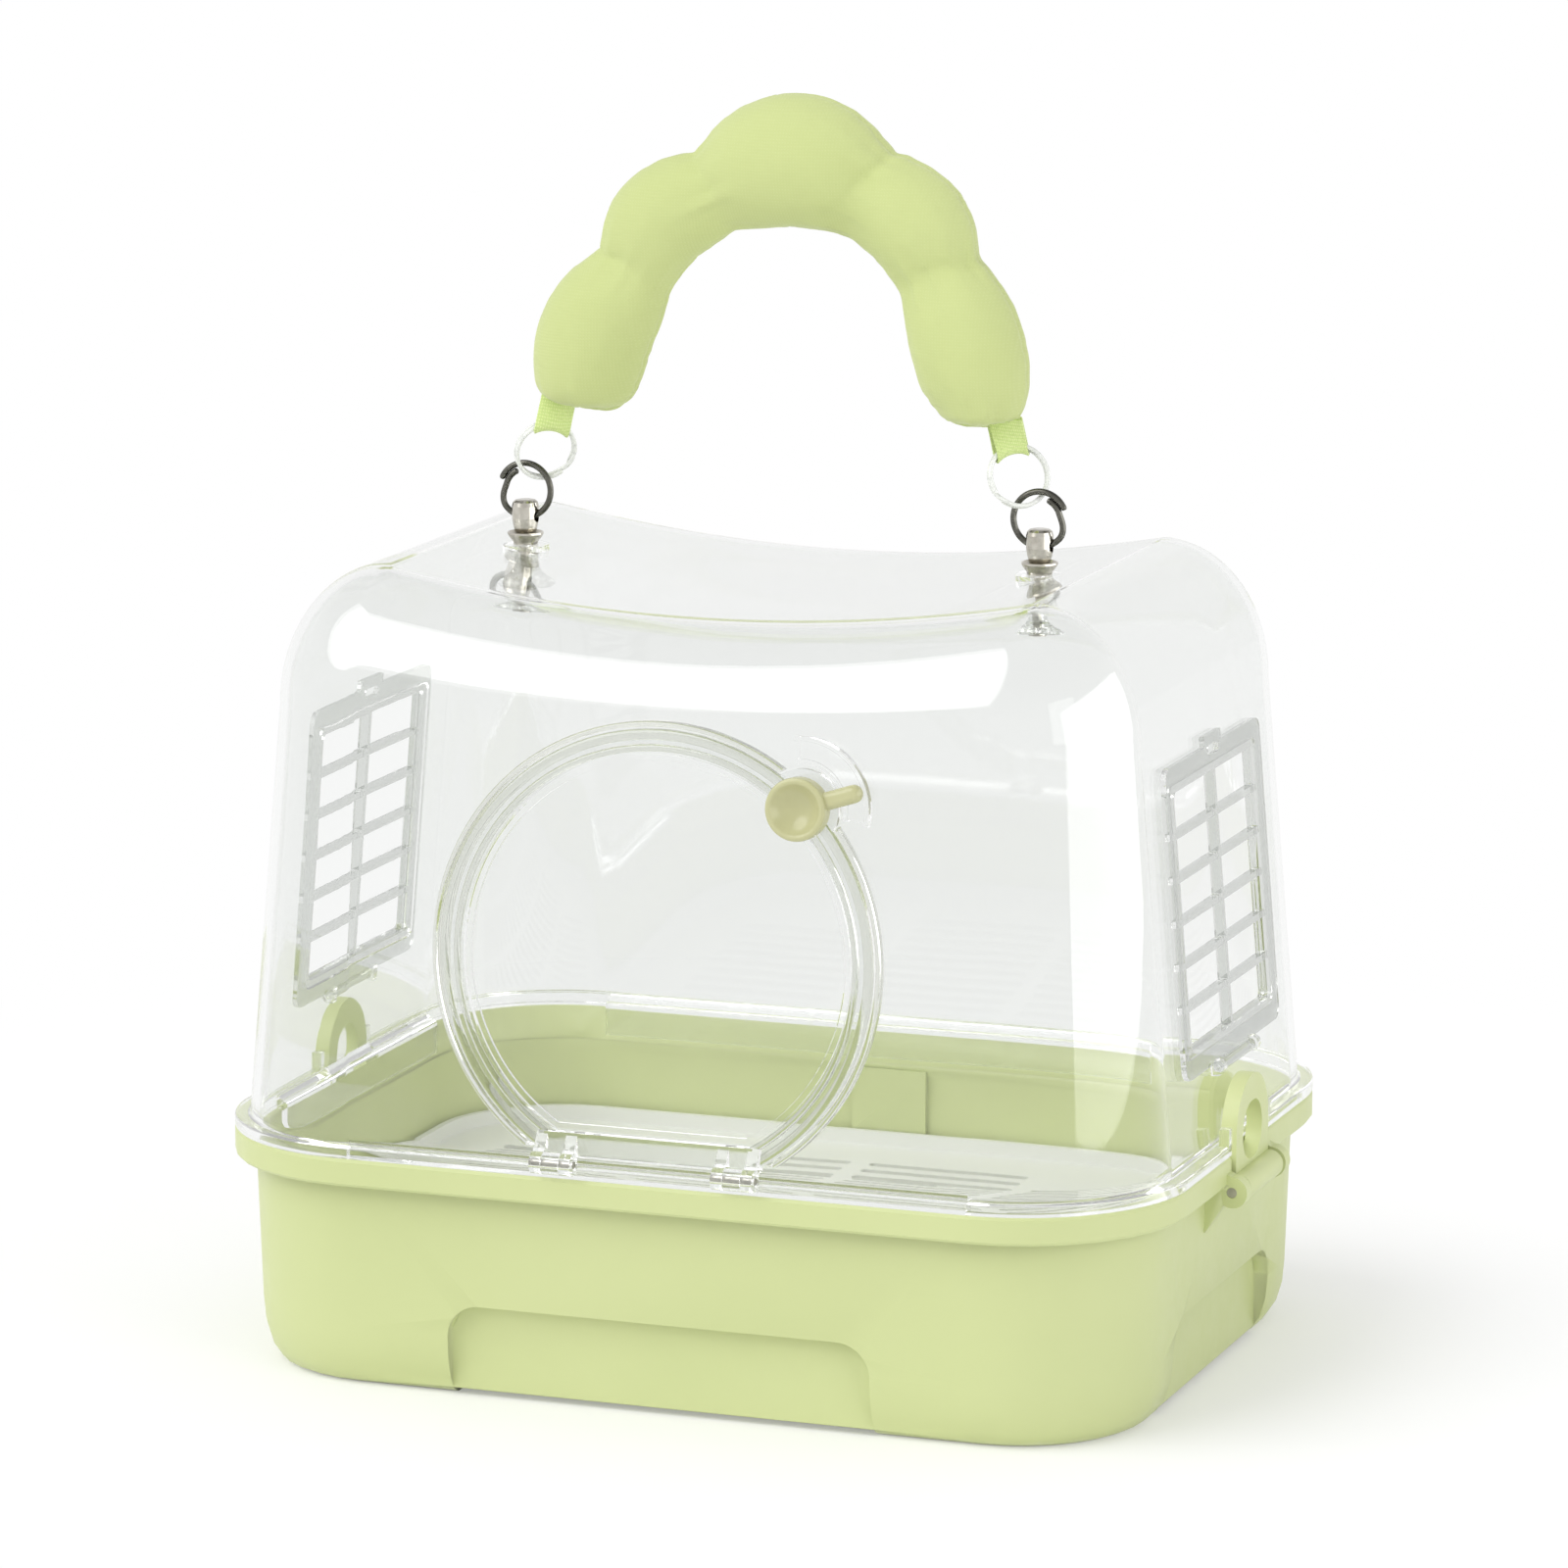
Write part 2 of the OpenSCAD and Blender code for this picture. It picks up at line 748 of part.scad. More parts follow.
module vent(s) {
    frame_t = 1.6;
    inner_w = vent_hole_w - 5;
    inner_h = vent_hole_h - 5;
    color(clear_tint)
        on_side(s) {
            translate([0, 0, 0.2])
                linear_extrude(frame_t)
                    difference() {
                        union() {
                            soft_rect(vent_w, vent_h, 4);
                            translate([0, vent_h / 2])
                                square([16, 6], center = true);
                        }
                        soft_rect(inner_w, inner_h, 2);
                        translate([0, vent_h / 2 - 1.5])
                            soft_rect(10, 3, 1.4);
                        for (k = [-1, 1])
                            translate([k * vent_ear_x, vent_axis_y])
                                square([vent_ear_w + 2 * part_gap, 5.2], center = true);
                    }
            translate([0, 0, -2.2])
                linear_extrude(2.5)
                    difference() {
                        soft_rect(vent_hole_w - 1, vent_hole_h - 1, 2.5);
                        soft_rect(inner_w, inner_h, 2);
                    }
            translate([0, 0, -1.4])
                linear_extrude(3)
                    square([2.2, inner_h + 1], center = true);
            for (i = [1:vent_bars])
                translate([0, (i - (vent_bars + 1) / 2) * inner_h / (vent_bars + 1), -1.2])
                    linear_extrude(2.6)
                        square([inner_w + 1, 2], center = true);
            translate([0, vent_axis_y, vent_axis_z])
                rotate([0, 90, 0]) {
                    cylinder(h = vent_barrel_w, r = vent_barrel_r, center = true, $fn = 40);
                    cylinder(
                        h = vent_barrel_w + 2 * vent_ear_w + part_gap, r = vent_pin_r, center = true, $fn = 24
                    );
                }
            translate([0, vent_axis_y + 1.4, 1])
                cube([vent_barrel_w, 2.4, 1.6], center = true);
        }
}

// Right latch. The plate stands outside the rim, with a finger window under a round top.
module latch() {
    half = latch_w / 2;
    arch_z = latch_top - half;
    color(tub_green)
        difference() {
            union() {
                translate([latch_x, 0, 0])
                    rotate([90, 0, 90])
                        linear_extrude(latch_t)
                            difference() {
                                union() {
                                    translate([0, arch_z])
                                        circle(half, $fn = 64);
                                    translate([-half, latch_axis_z])
                                        square([latch_w, arch_z - latch_axis_z]);
                                }
                                translate([0, arch_z - 0.5])
                                    soft_rect(latch_w - 13, 17, 8.4);
                            }
                translate([latch_axis_x, 0, latch_axis_z])
                    rotate([90, 0, 0])
                        cylinder(h = latch_w, r = latch_knuckle_r, center = true, $fn = 48);
            }
            translate([latch_axis_x, 0, latch_axis_z])
                rotate([90, 0, 0])
                    cylinder(h = latch_w + 2, r = latch_pin_r + run_fit, center = true, $fn = 32);
        }
}

module latch_pin(s) {
    color(steel)
        translate([s * latch_axis_x, 0, latch_axis_z])
            rotate([90, 0, 0])
                cylinder(h = notch_w + 2 * ear_w - 0.6, r = latch_pin_r, center = true, $fn = 32);
}

module at_post(s) {
    translate([s * post_x, 0, 0])
        children();
}

// Nickel cup that stands on the dome round the spindle
module swivel_collar(s) {
    color(steel)
        at_post(s)
            translate([0, 0, boss_top])
                rotate_extrude($fn = 96)
                    polygon([
                        [spindle_r + run_fit, 0], [3.6, 0], [3.8, 0.8], [4.9, 2.2], [5.4, 3.1],
                        [5.3, 3.6], [4.8, 3.7], [4.4, 3], [3.3, 1.7], [spindle_r + run_fit, 1.4]
                    ]);
}

// Clear bush under the dome, flared like a bell at its foot
module swivel_bush(s) {
    color(clear_tint)
        at_post(s)
            translate([0, 0, bush_z])
                rotate_extrude($fn = 96)
                    polygon([
                        [spindle_r + run_fit, 1.6], [3.2, 1.2], [6.6, 0.3], [bush_flare - 0.5, 0],
                        [bush_flare, 0.7], [7.6, 1.8], [5.6, 3], [4.2, 4.6], [bush_r + 0.15, 6.4],
                        [bush_r, 10], [spindle_r + run_fit, 10]
                    ]);
}

// Nickel barrel with its spindle and the cross hole that the ring swings in
module swivel_head(s) {
    neck_z = boss_top + 1.6;
    color(steel)
        at_post(s)
            difference() {
                union() {
                    rotate_extrude($fn = 96)
                        polygon([
                            [0, neck_z], [2.6, neck_z], [2.6, head_z - 0.8], [3.2, head_z + 0.6],
                            [3.7, head_z + 2.6], [head_r, head_z + 4.6], [head_r, head_top - 1.9],
                            [3.7, head_top - 0.8], [3, head_top - 0.2], [2, head_top], [0, head_top]
                        ]);
                    translate([0, 0, bush_z + 0.6])
                        cylinder(h = neck_z - bush_z, r = spindle_r, $fn = 48);
                }
                translate([0, 0, swing_z])
                    rotate([0, 90, 0])
                        cylinder(h = 12, r = head_bore, center = true, $fn = 48);
                translate([0, 0, bush_z])
                    cylinder(h = 8, r = 0.85, $fn = 24);
            }
}

module swivel_screw(s) {
    color(steel)
        at_post(s) {
            translate([0, 0, bush_z - 1.3])
                cylinder(h = 1.8, r = 2.9, $fn = 48);
            translate([0, 0, bush_z])
                cylinder(h = 6.5, r = 0.8, $fn = 24);
        }
}

module swivel_ring(s) {
    color([0.35, 0.35, 0.31])
        translate([s * post_x, 0, ring_z])
            rotate([90, 0, 0])
                rotate_extrude($fn = 96)
                    translate([ring_r, 0])
                        circle(ring_wire, $fn = 24);
}

// Places children at the middle of the right split ring: local z is the ring's axis and
// local y points from the swivel ring towards the handle
module at_split() {
    translate([split_x, 0, split_z])
        rotate([0, -link_turn, 0])
            rotate([0, 0, split_turn])
                rotate([90, 0, 0])
                    children();
}

module split_ring() {
    color([0.88, 0.9, 0.84])
        at_split()
            rotate_extrude($fn = 96)
                translate([split_r, 0])
                    circle(split_wire, $fn = 24);
}

// Folded webbing: a sleeve round the wire of the split ring and two plies up to the pad
module webbing_tab() {
    sleeve = split_wire + 0.15;
    half_turn = 34;
    tab_foot = split_z + split_r * cos(tab_lean) - 0.2;
    color(pad_green)
        difference() {
            union() {
                at_split()
                    rotate([0, 0, 90 - link_turn + tab_lean - half_turn])
                        rotate_extrude(angle = 2 * half_turn, $fn = 96)
                            translate([split_r, 0])
                                circle(sleeve + 0.9, $fn = 24);
                translate([split_x - tab_in, 0, (tab_foot + tab_top) / 2])
                    cube([tab_w, tab_ply, tab_top - tab_foot], center = true);
            }
            at_split()
                rotate_extrude($fn = 96)
                    translate([split_r, 0])
                        circle(sleeve, $fn = 24);
        }
}

// Half thickness of the pad between stations i and i + 1: full at a lobe, drawn in at a
// seam, with a round shoulder between them
function pad_half(i, t) =
    let (
        a = pad_stations[i][2],
        b = pad_stations[i + 1][2],
        rise = b > a,
        u = rise ? t : 1 - t,
        low = min(a, b) + (1 - pad_seam) * abs(b - a),
        high = max(a, b)
    )
    low + (high - low) * pow(sin(90 * u), 0.75);

// Middle line of the pad: a smooth curve through the stations, along their directions
function pad_middle(i, t) =
    let (
        p = pad_stations[i],
        q = pad_stations[i + 1],
        from = [p[0] * post_x, swing_z + p[1]],
        to = [q[0] * post_x, swing_z + q[1]],
        chord = norm(to - from),
        out = chord * [cos(p[3]), sin(p[3])],
        in = chord * [cos(q[3]), sin(q[3])]
    )
    (2 * pow(t, 3) - 3 * pow(t, 2) + 1) * from + (pow(t, 3) - 2 * pow(t, 2) + t) * out
    + (3 * pow(t, 2) - 2 * pow(t, 3)) * to + (pow(t, 3) - pow(t, 2)) * in;

function pad_ring(i, t) =
    let (
        middle = pad_middle(i, t),
        x = middle[0],
        z = middle[1],
        dir = pad_stations[i][3] + (pad_stations[i + 1][3] - pad_stations[i][3]) * t,
        h = pad_half(i, t)
    )
    [for (k = [0:pad_sides - 1])
        let (
            a = 360 * (k + 0.5) / pad_sides,
            r = h * sin(a),
            y = h * pad_depth * cos(a)
        )
        [x - r * sin(dir), y, z + r * cos(dir)]];

module handle_pad() {
    last = len(pad_stations) - 2;
    color(pad_green)
        stack(concat(
            [for (i = [0:last], k = [0:pad_steps - 1]) pad_ring(i, k / pad_steps)],
            [pad_ring(last, 1)]
        ));
}

module flip(s) {
    if (s > 0)
        children();
    else
        mirror([1, 0, 0])
            children();
}

// The two links are the same piece, turned half round for the other side
module turned(s) {
    rotate([0, 0, s > 0 ? 0 : 180])
        children();
}

base_tub();
floor_grate();
dome();
dome_lip(-1, -1);  // dome_lip_front_left
dome_lip(1, -1);  // dome_lip_front_right
dome_lip(-1, 1);  // dome_lip_rear_left
dome_lip(1, 1);  // dome_lip_rear_right
door_panel();
door_hinge_pin(-1);  // door_hinge_pin_left
door_hinge_pin(1);  // door_hinge_pin_right
door_knob();
knob_screw();
vent(-1);  // vent_left
vent(1);  // vent_right
flip(-1) latch();  // latch_left
flip(1) latch();  // latch_right
latch_pin(-1);  // latch_pin_left
latch_pin(1);  // latch_pin_right
swivel_collar(-1);  // swivel_collar_left
swivel_collar(1);  // swivel_collar_right
swivel_bush(-1);  // swivel_bush_left
swivel_bush(1);  // swivel_bush_right
swivel_head(-1);  // swivel_head_left
swivel_head(1);  // swivel_head_right
swivel_screw(-1);  // swivel_screw_left
swivel_screw(1);  // swivel_screw_right
swivel_ring(-1);  // swivel_ring_left
swivel_ring(1);  // swivel_ring_right
turned(-1) split_ring();  // split_ring_left
turned(1) split_ring();  // split_ring_right
turned(-1) webbing_tab();  // webbing_tab_left
turned(1) webbing_tab();  // webbing_tab_right
handle_pad();
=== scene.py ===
"""Looks of a bird travel carrier: a clear dome on a pale green tub, with a padded handle.

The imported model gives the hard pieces, and this script gives each of them its finish. It makes the
green mouldings, the dome, the door and the knob again with smooth curves, and the soft and wound
pieces in detail: the stuffed handle, its webbing tabs and the four rings.
"""

import logging
import math
from dataclasses import dataclass
from enum import Enum
from typing import Callable

import bmesh
import bpy
import numpy as np
from mathutils import Matrix, Vector
from mathutils.bvhtree import BVHTree


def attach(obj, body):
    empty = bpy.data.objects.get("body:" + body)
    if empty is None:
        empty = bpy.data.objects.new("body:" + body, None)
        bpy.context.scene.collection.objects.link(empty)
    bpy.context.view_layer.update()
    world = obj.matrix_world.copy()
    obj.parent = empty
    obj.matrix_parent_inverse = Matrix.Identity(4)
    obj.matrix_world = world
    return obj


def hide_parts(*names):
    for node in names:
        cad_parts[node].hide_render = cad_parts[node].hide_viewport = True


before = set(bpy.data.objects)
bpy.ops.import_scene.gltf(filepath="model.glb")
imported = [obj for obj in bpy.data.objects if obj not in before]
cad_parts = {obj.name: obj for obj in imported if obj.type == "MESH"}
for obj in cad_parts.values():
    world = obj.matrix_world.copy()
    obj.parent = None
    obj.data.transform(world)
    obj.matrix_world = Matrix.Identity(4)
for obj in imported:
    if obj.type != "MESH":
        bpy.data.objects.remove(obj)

MM = 0.001
# Least angle in degrees of an edge that stays sharp on a moulding
LEAST_SHARP = 25.0
# What Map Range calls the ends of the range that it reads, and of the one that it gives
RANGES = ("From Min", "From Max", "To Min", "To Max")

log = logging.getLogger("carrier")


class Slot(Enum):
    """The record's material slots."""

    TUB = "tub_plastic"
    GRATE = "grate_plastic"
    CLEAR = "clear_plastic"
    KNOB = "knob_plastic"
    NICKEL = "nickel"
    DARK_NICKEL = "dark_nickel"
    WIRE = "coated_wire"
    PIN = "pin_steel"
    WEBBING = "webbing"
    PAD = "pad_fabric"


class Side(Enum):
    """A side of the carrier, as the sign of its x."""

    LEFT = -1
    RIGHT = 1

    @property
    def word(self) -> str:
        """The side's name as it stands in node names."""
        return self.name.lower()


class Carve(Enum):
    """How one closed shape changes another."""

    ADD = "UNION"
    CUT = "DIFFERENCE"


class Twist(Enum):
    """How a swept section is kept from turning along its line."""

    LEAST = "MINIMUM_TWIST"
    UPRIGHT = "Z_UP"


# Nodes and materials


def linear(code: str) -> tuple[float, float, float, float]:
    """Turns an sRGB hex colour into the linear colour that a socket takes.

    Args:
        code: six hex digits, such as "D6E1A6".

    Returns:
        Red, green, blue and an alpha of 1.
    """
    parts = [int(code[i : i + 2], 16) / 255 for i in (0, 2, 4)]
    red, green, blue = (c / 12.92 if c <= 0.04045 else ((c + 0.055) / 1.055) ** 2.4 for c in parts)
    return red, green, blue, 1.0


def per_metre(size_mm: float) -> float:
    """Scale of a noise whose features are size_mm across."""
    return 1000 / size_mm


def bands_per_metre(spacing_mm: float) -> float:
    """Scale of a wave texture whose bands are spacing_mm apart."""
    return math.tau / 20 * 1000 / spacing_mm


def add(
    tree: bpy.types.NodeTree, kind: str, inputs: dict | None = None, **settings
) -> bpy.types.Node:
    """Adds a node to a tree, with its settings and its links.

    Args:
        tree: the tree that gets the node.
        kind: the node's type name.
        inputs: what each input takes, by its name or number: a value, or the output that feeds it.
        settings: the node's own properties.

    Returns:
        The new node.
    """
    node = tree.nodes.new(kind)
    for name, value in settings.items():
        setattr(node, name, value)
    for name, value in (inputs or {}).items():
        socket = node.inputs[name]
        if isinstance(value, bpy.types.NodeSocket):
            tree.links.new(value, socket)
        else:
            socket.default_value = value
    return node


def mottled(
    tree: bpy.types.NodeTree,
    pattern: bpy.types.NodeSocket,
    span: tuple[float, float],
    share: tuple[float, float],
    first: object,
    second: object,
) -> bpy.types.NodeSocket:
    """Mixes two colours as a pattern rises.

    Args:
        tree: the material's tree.
        pattern: the pattern's output.
        span: the two values of the pattern between which the mix changes.
        share: how much of the second colour shows at each of them.
        first: the first colour, as a value or an output.
        second: the second colour.

    Returns:
        The mixed colour's output.
    """
    ranges = dict(zip(RANGES, (*span, *share)))
    mixed = add(tree, "ShaderNodeMapRange", {"Value": pattern, **ranges}).outputs[0]
    mix = add(tree, "ShaderNodeMix", {0: mixed, 6: first, 7: second}, data_type="RGBA")
    return mix.outputs[2]


def surface(
    tree: bpy.types.NodeTree,
    relief: bpy.types.NodeSocket,
    deep_mm: float,
    wear: bpy.types.NodeSocket,
    span: tuple[float, float],
    rough: tuple[float, float],
    inputs: dict,
    strength: float = 1.0,
) -> bpy.types.NodeSocket:
    """Adds the surface shader, with uneven roughness and a fine relief that only its bump draws.

    Args:
        tree: the material's tree.
        relief: the output that gives the relief's height.
        deep_mm: the relief's full depth.
        wear: the output of the pattern that the roughness follows.
        span: the two values of that pattern between which the roughness changes.
        rough: the roughness at each of them.
        inputs: what the shader's other inputs take.
        strength: the share of the relief that shows.

    Returns:
        The shader's output.
    """
    ranges = dict(zip(RANGES, (*span, *rough)))
    worn = add(tree, "ShaderNodeMapRange", {"Value": wear, **ranges}).outputs[0]
    bump = add(
        tree, "ShaderNodeBump", {"Height": relief, "Distance": deep_mm * MM, "Strength": strength}
    )
    taken = {**inputs, "Roughness": worn, "Normal": bump.outputs[0]}
    return add(tree, "ShaderNodeBsdfPrincipled", taken).outputs[0]


@dataclass(frozen=True)
class Finish:
    """What a piece is made of, and how its surface was made."""

    name: str

    def material(self) -> bpy.types.Material:
        """Builds the material.

        Returns:
            The material, under the finish's name.
        """
        made = bpy.data.materials.new(self.name)
        made.use_nodes = True
        made.node_tree.nodes.clear()
        add(made.node_tree, "ShaderNodeOutputMaterial", {0: self.shader(made.node_tree)})
        return made

    def shader(self, tree: bpy.types.NodeTree) -> bpy.types.NodeSocket:
        """Adds the finish's nodes to a tree and returns the shader's output."""
        raise NotImplementedError


@dataclass(frozen=True)
class MouldedPlastic(Finish):
    """Opaque plastic from an injection mould, with the mould's fine spark-eroded grain."""

    colour: str
    shade: str
    roughness: float
    grain_mm: float = 0.7
    grain_deep_mm: float = 0.012
    worn: str = "E9EDD6"
    foot_mm: float = 5.0

    def shader(self, tree: bpy.types.NodeTree) -> bpy.types.NodeSocket:
        """Adds broad colour drift from the melt, fine grain, and rubbed feet.

        Args:
            tree: the material's tree.

        Returns:
            The shader's output.
        """
        place = add(tree, "ShaderNodeTexCoord").outputs["Object"]
        drift = add(
            tree, "ShaderNodeTexNoise", {"Vector": place, "Scale": per_metre(60), "Detail": 3.0}
        ).outputs[0]
        grain = add(
            tree,
            "ShaderNodeTexNoise",
            {"Vector": place, "Scale": per_metre(self.grain_mm), "Detail": 2.0},
        ).outputs[0]
        handled = add(
            tree,
            "ShaderNodeTexNoise",
            {"Vector": place, "Scale": per_metre(11), "Detail": 6.0, "Roughness": 0.7},
        ).outputs[0]
        height = add(tree, "ShaderNodeSeparateXYZ", {0: place}).outputs["Z"]
        ranges = dict(zip(RANGES, (0.0, self.foot_mm * MM, 1.0, 0.0)))
        low = add(tree, "ShaderNodeMapRange", {"Value": height, **ranges}).outputs[0]
        rubbed = add(tree, "ShaderNodeMath", {0: low, 1: handled}, operation="MULTIPLY").outputs[0]
        new = mottled(tree, drift, (0.3, 0.7), (0.0, 0.35), linear(self.colour), linear(self.shade))
        colour = mottled(tree, rubbed, (0.3, 0.7), (0.0, 0.7), new, linear(self.worn))
        rough = (self.roughness - 0.05, self.roughness + 0.08)
        inputs = {"Base Color": colour, "IOR": 1.49}
        return surface(tree, grain, self.grain_deep_mm, handled, (0.35, 0.7), rough, inputs)


@dataclass(frozen=True)
class ClearPlastic(Finish):
    """Clear styrene plastic from a polished mould: bright, with flow waves and hairlines."""

    tint: str
    # Painted shade: the colour that the glass is darkened to where it is seen edge-on, from the
    # facing value below
    edge: str
    painted_edge_from: float = 0.6
    roughness: float = 0.015
    most_turns: float = 10.5
    wave_mm: float = 85.0
    wave_deep_mm: float = 0.12

    def shader(self, tree: bpy.types.NodeTree) -> bpy.types.NodeSocket:
        """Adds glass with painted shade where it is seen edge-on, with waves and rubbed hairlines.

        Args:
            tree: the material's tree.

        Returns:
            The shader's output.
        """
        place = add(tree, "ShaderNodeTexCoord").outputs["Object"]
        wave = add(
            tree,
            "ShaderNodeTexNoise",
            {"Vector": place, "Scale": per_metre(self.wave_mm), "Detail": 1.0},
        ).outputs[0]
        drawn = add(tree, "ShaderNodeMapping", {0: place, "Scale": (1.0, 1.0, 0.08)}).outputs[0]
        hairlines = add(
            tree, "ShaderNodeTexNoise", {"Vector": drawn, "Scale": per_metre(2.4), "Detail": 4.0}
        ).outputs[0]
        # Painted shade: the colour darkens towards the edge colour as the surface turns edge-on to
        # the eye
        turned = add(tree, "ShaderNodeLayerWeight", {"Blend": 0.28}).outputs["Facing"]
        colour = mottled(
            tree, turned, (self.painted_edge_from, 1.0), (0.0, 1.0), linear(self.tint), linear(self.edge)
        )
        rough = (self.roughness, self.roughness + 0.06)
        inputs = {"Base Color": colour, "IOR": 1.5, "Transmission Weight": 1.0}
        shader = surface(tree, wave, self.wave_deep_mm, hairlines, (0.5, 0.8), rough, inputs)
        # Light from the lamps and the room passes straight through to what the dome covers
        open_way = add(tree, "ShaderNodeBsdfTransparent", {0: (1.0, 1.0, 1.0, 1.0)})
        path = add(tree, "ShaderNodeLightPath")
        passing = add(
            tree,
            "ShaderNodeMath",
            {0: path.outputs["Is Shadow Ray"], 1: path.outputs["Is Diffuse Ray"]},
            operation="MAXIMUM",
        )
        # Light that the wall would carry along inside itself leaves it after a few turns
        caught = add(
            tree,
            "ShaderNodeMath",
            {0: path.outputs["Ray Depth"], 1: self.most_turns},
            operation="GREATER_THAN",
        )
        way_out = add(
            tree,
            "ShaderNodeMath",
            {0: passing.outputs[0], 1: caught.outputs[0]},
            operation="MAXIMUM",
        )
        mix = add(
            tree, "ShaderNodeMixShader", {0: way_out.outputs[0], 1: shader, 2: open_way.outputs[0]}
        )
        return mix.outputs[0]


@dataclass(frozen=True)
class Metal(Finish):
    """Turned or drawn metal, plated or plain, with the lines that its making leaves."""

    colour: str
    dull: str
    roughness: float
    line_mm: float = 0.35
    line_deep_mm: float = 0.004

    def shader(self, tree: bpy.types.NodeTree) -> bpy.types.NodeSocket:
        """Adds fine lines around the turning axis and duller, handled patches.

        Args:
            tree: the material's tree.

        Returns:
            The shader's output.
        """
        place = add(tree, "ShaderNodeTexCoord").outputs["Object"]
        flat = add(tree, "ShaderNodeMapping", {0: place, "Scale": (0.06, 0.06, 1.0)}).outputs[0]
        lines = add(
            tree,
            "ShaderNodeTexNoise",
            {"Vector": flat, "Scale": per_metre(self.line_mm), "Detail": 3.0},
        ).outputs[0]
        patches = add(
            tree, "ShaderNodeTexNoise", {"Vector": place, "Scale": per_metre(3.5), "Detail": 5.0}
        ).outputs[0]
        colour = mottled(
            tree, patches, (0.45, 0.75), (0.0, 0.8), linear(self.colour), linear(self.dull)
        )
        rough = (self.roughness, self.roughness + 0.12)
        inputs = {"Base Color": colour, "Metallic": 1.0}
        return surface(tree, lines, self.line_deep_mm, patches, (0.35, 0.7), rough, inputs)


@dataclass(frozen=True)
class DippedCoat(Finish):
    """A pale, slightly see-through plastic coat on steel wire, a little uneven from dipping."""

    colour: str
    thin: str
    roughness: float = 0.22
    run_mm: float = 1.6
    run_deep_mm: float = 0.03

    def shader(self, tree: bpy.types.NodeTree) -> bpy.types.NodeSocket:
        """Adds runs in the coat, darker where it is thin over the wire.

        Args:
            tree: the material's tree.

        Returns:
            The shader's output.
        """
        place = add(tree, "ShaderNodeTexCoord").outputs["Object"]
        runs = add(
            tree,
            "ShaderNodeTexNoise",
            {"Vector": place, "Scale": per_metre(self.run_mm), "Detail": 2.0},
        ).outputs[0]
        colour = mottled(
            tree, runs, (0.5, 0.72), (0.0, 0.8), linear(self.colour), linear(self.thin)
        )
        rough = (self.roughness, self.roughness + 0.12)
        inputs = {"Base Color": colour, "Coat Weight": 0.6, "Coat Roughness": 0.06}
        return surface(tree, runs, self.run_deep_mm, runs, (0.3, 0.7), rough, inputs)


@dataclass(frozen=True)
class PadCloth(Finish):
    """Soft plain-woven cloth over stuffing. Its 0.3 mm threads are drawn 0.9 mm apart to show."""

    colour: str
    shade: str
    # Painted highlight: the lighter colour drawn on the raised crossings of the threads
    light: str
    thread_mm: float = 0.9
    thread_deep_mm: float = 0.05
    rough: tuple[float, float] = (0.78, 0.92)

    def shader(self, tree: bpy.types.NodeTree) -> bpy.types.NodeSocket:
        """Adds crossing threads with a painted highlight on their raised crossings, a short nap with
        sheen and uneven dye.

        Args:
            tree: the material's tree.

        Returns:
            The shader's output.
        """
        place = add(tree, "ShaderNodeTexCoord").outputs["Object"]
        slub = add(
            tree, "ShaderNodeTexNoise", {"Vector": place, "Scale": per_metre(5), "Detail": 3.0}
        ).outputs["Color"]
        swayed = add(
            tree, "ShaderNodeVectorMath", {0: slub, "Scale": 0.4 * MM}, operation="SCALE"
        ).outputs[0]
        threads_at = add(
            tree, "ShaderNodeVectorMath", {0: place, 1: swayed}, operation="ADD"
        ).outputs[0]
        scale = bands_per_metre(self.thread_mm)
        warp, weft = (
            add(
                tree,
                "ShaderNodeTexWave",
                {"Vector": threads_at, "Scale": scale},
                bands_direction=way,
            ).outputs[1]
            for way in ("X", "Z")
        )
        woven = add(tree, "ShaderNodeMath", {0: warp, 1: weft}, operation="MULTIPLY").outputs[0]
        dye = add(
            tree, "ShaderNodeTexNoise", {"Vector": place, "Scale": per_metre(38), "Detail": 4.0}
        ).outputs[0]
        nap = add(
            tree, "ShaderNodeTexNoise", {"Vector": place, "Scale": per_metre(0.8), "Detail": 3.0}
        ).outputs[0]
        dyed = mottled(tree, dye, (0.3, 0.7), (0.0, 0.4), linear(self.colour), linear(self.shade))
        # Painted highlight on the raised thread crossings
        colour = mottled(tree, woven, (0.3, 1.0), (0.0, 0.25), dyed, linear(self.light))
        raised = add(tree, "ShaderNodeMath", {0: woven, 1: nap}, operation="ADD").outputs[0]
        inputs = {
            "Base Color": colour,
            "Sheen Weight": 0.25,
            "Sheen Roughness": 0.45,
            "Specular IOR Level": 0.3,
        }
        return surface(tree, raised, self.thread_deep_mm, nap, (0.3, 0.7), self.rough, inputs, 0.8)


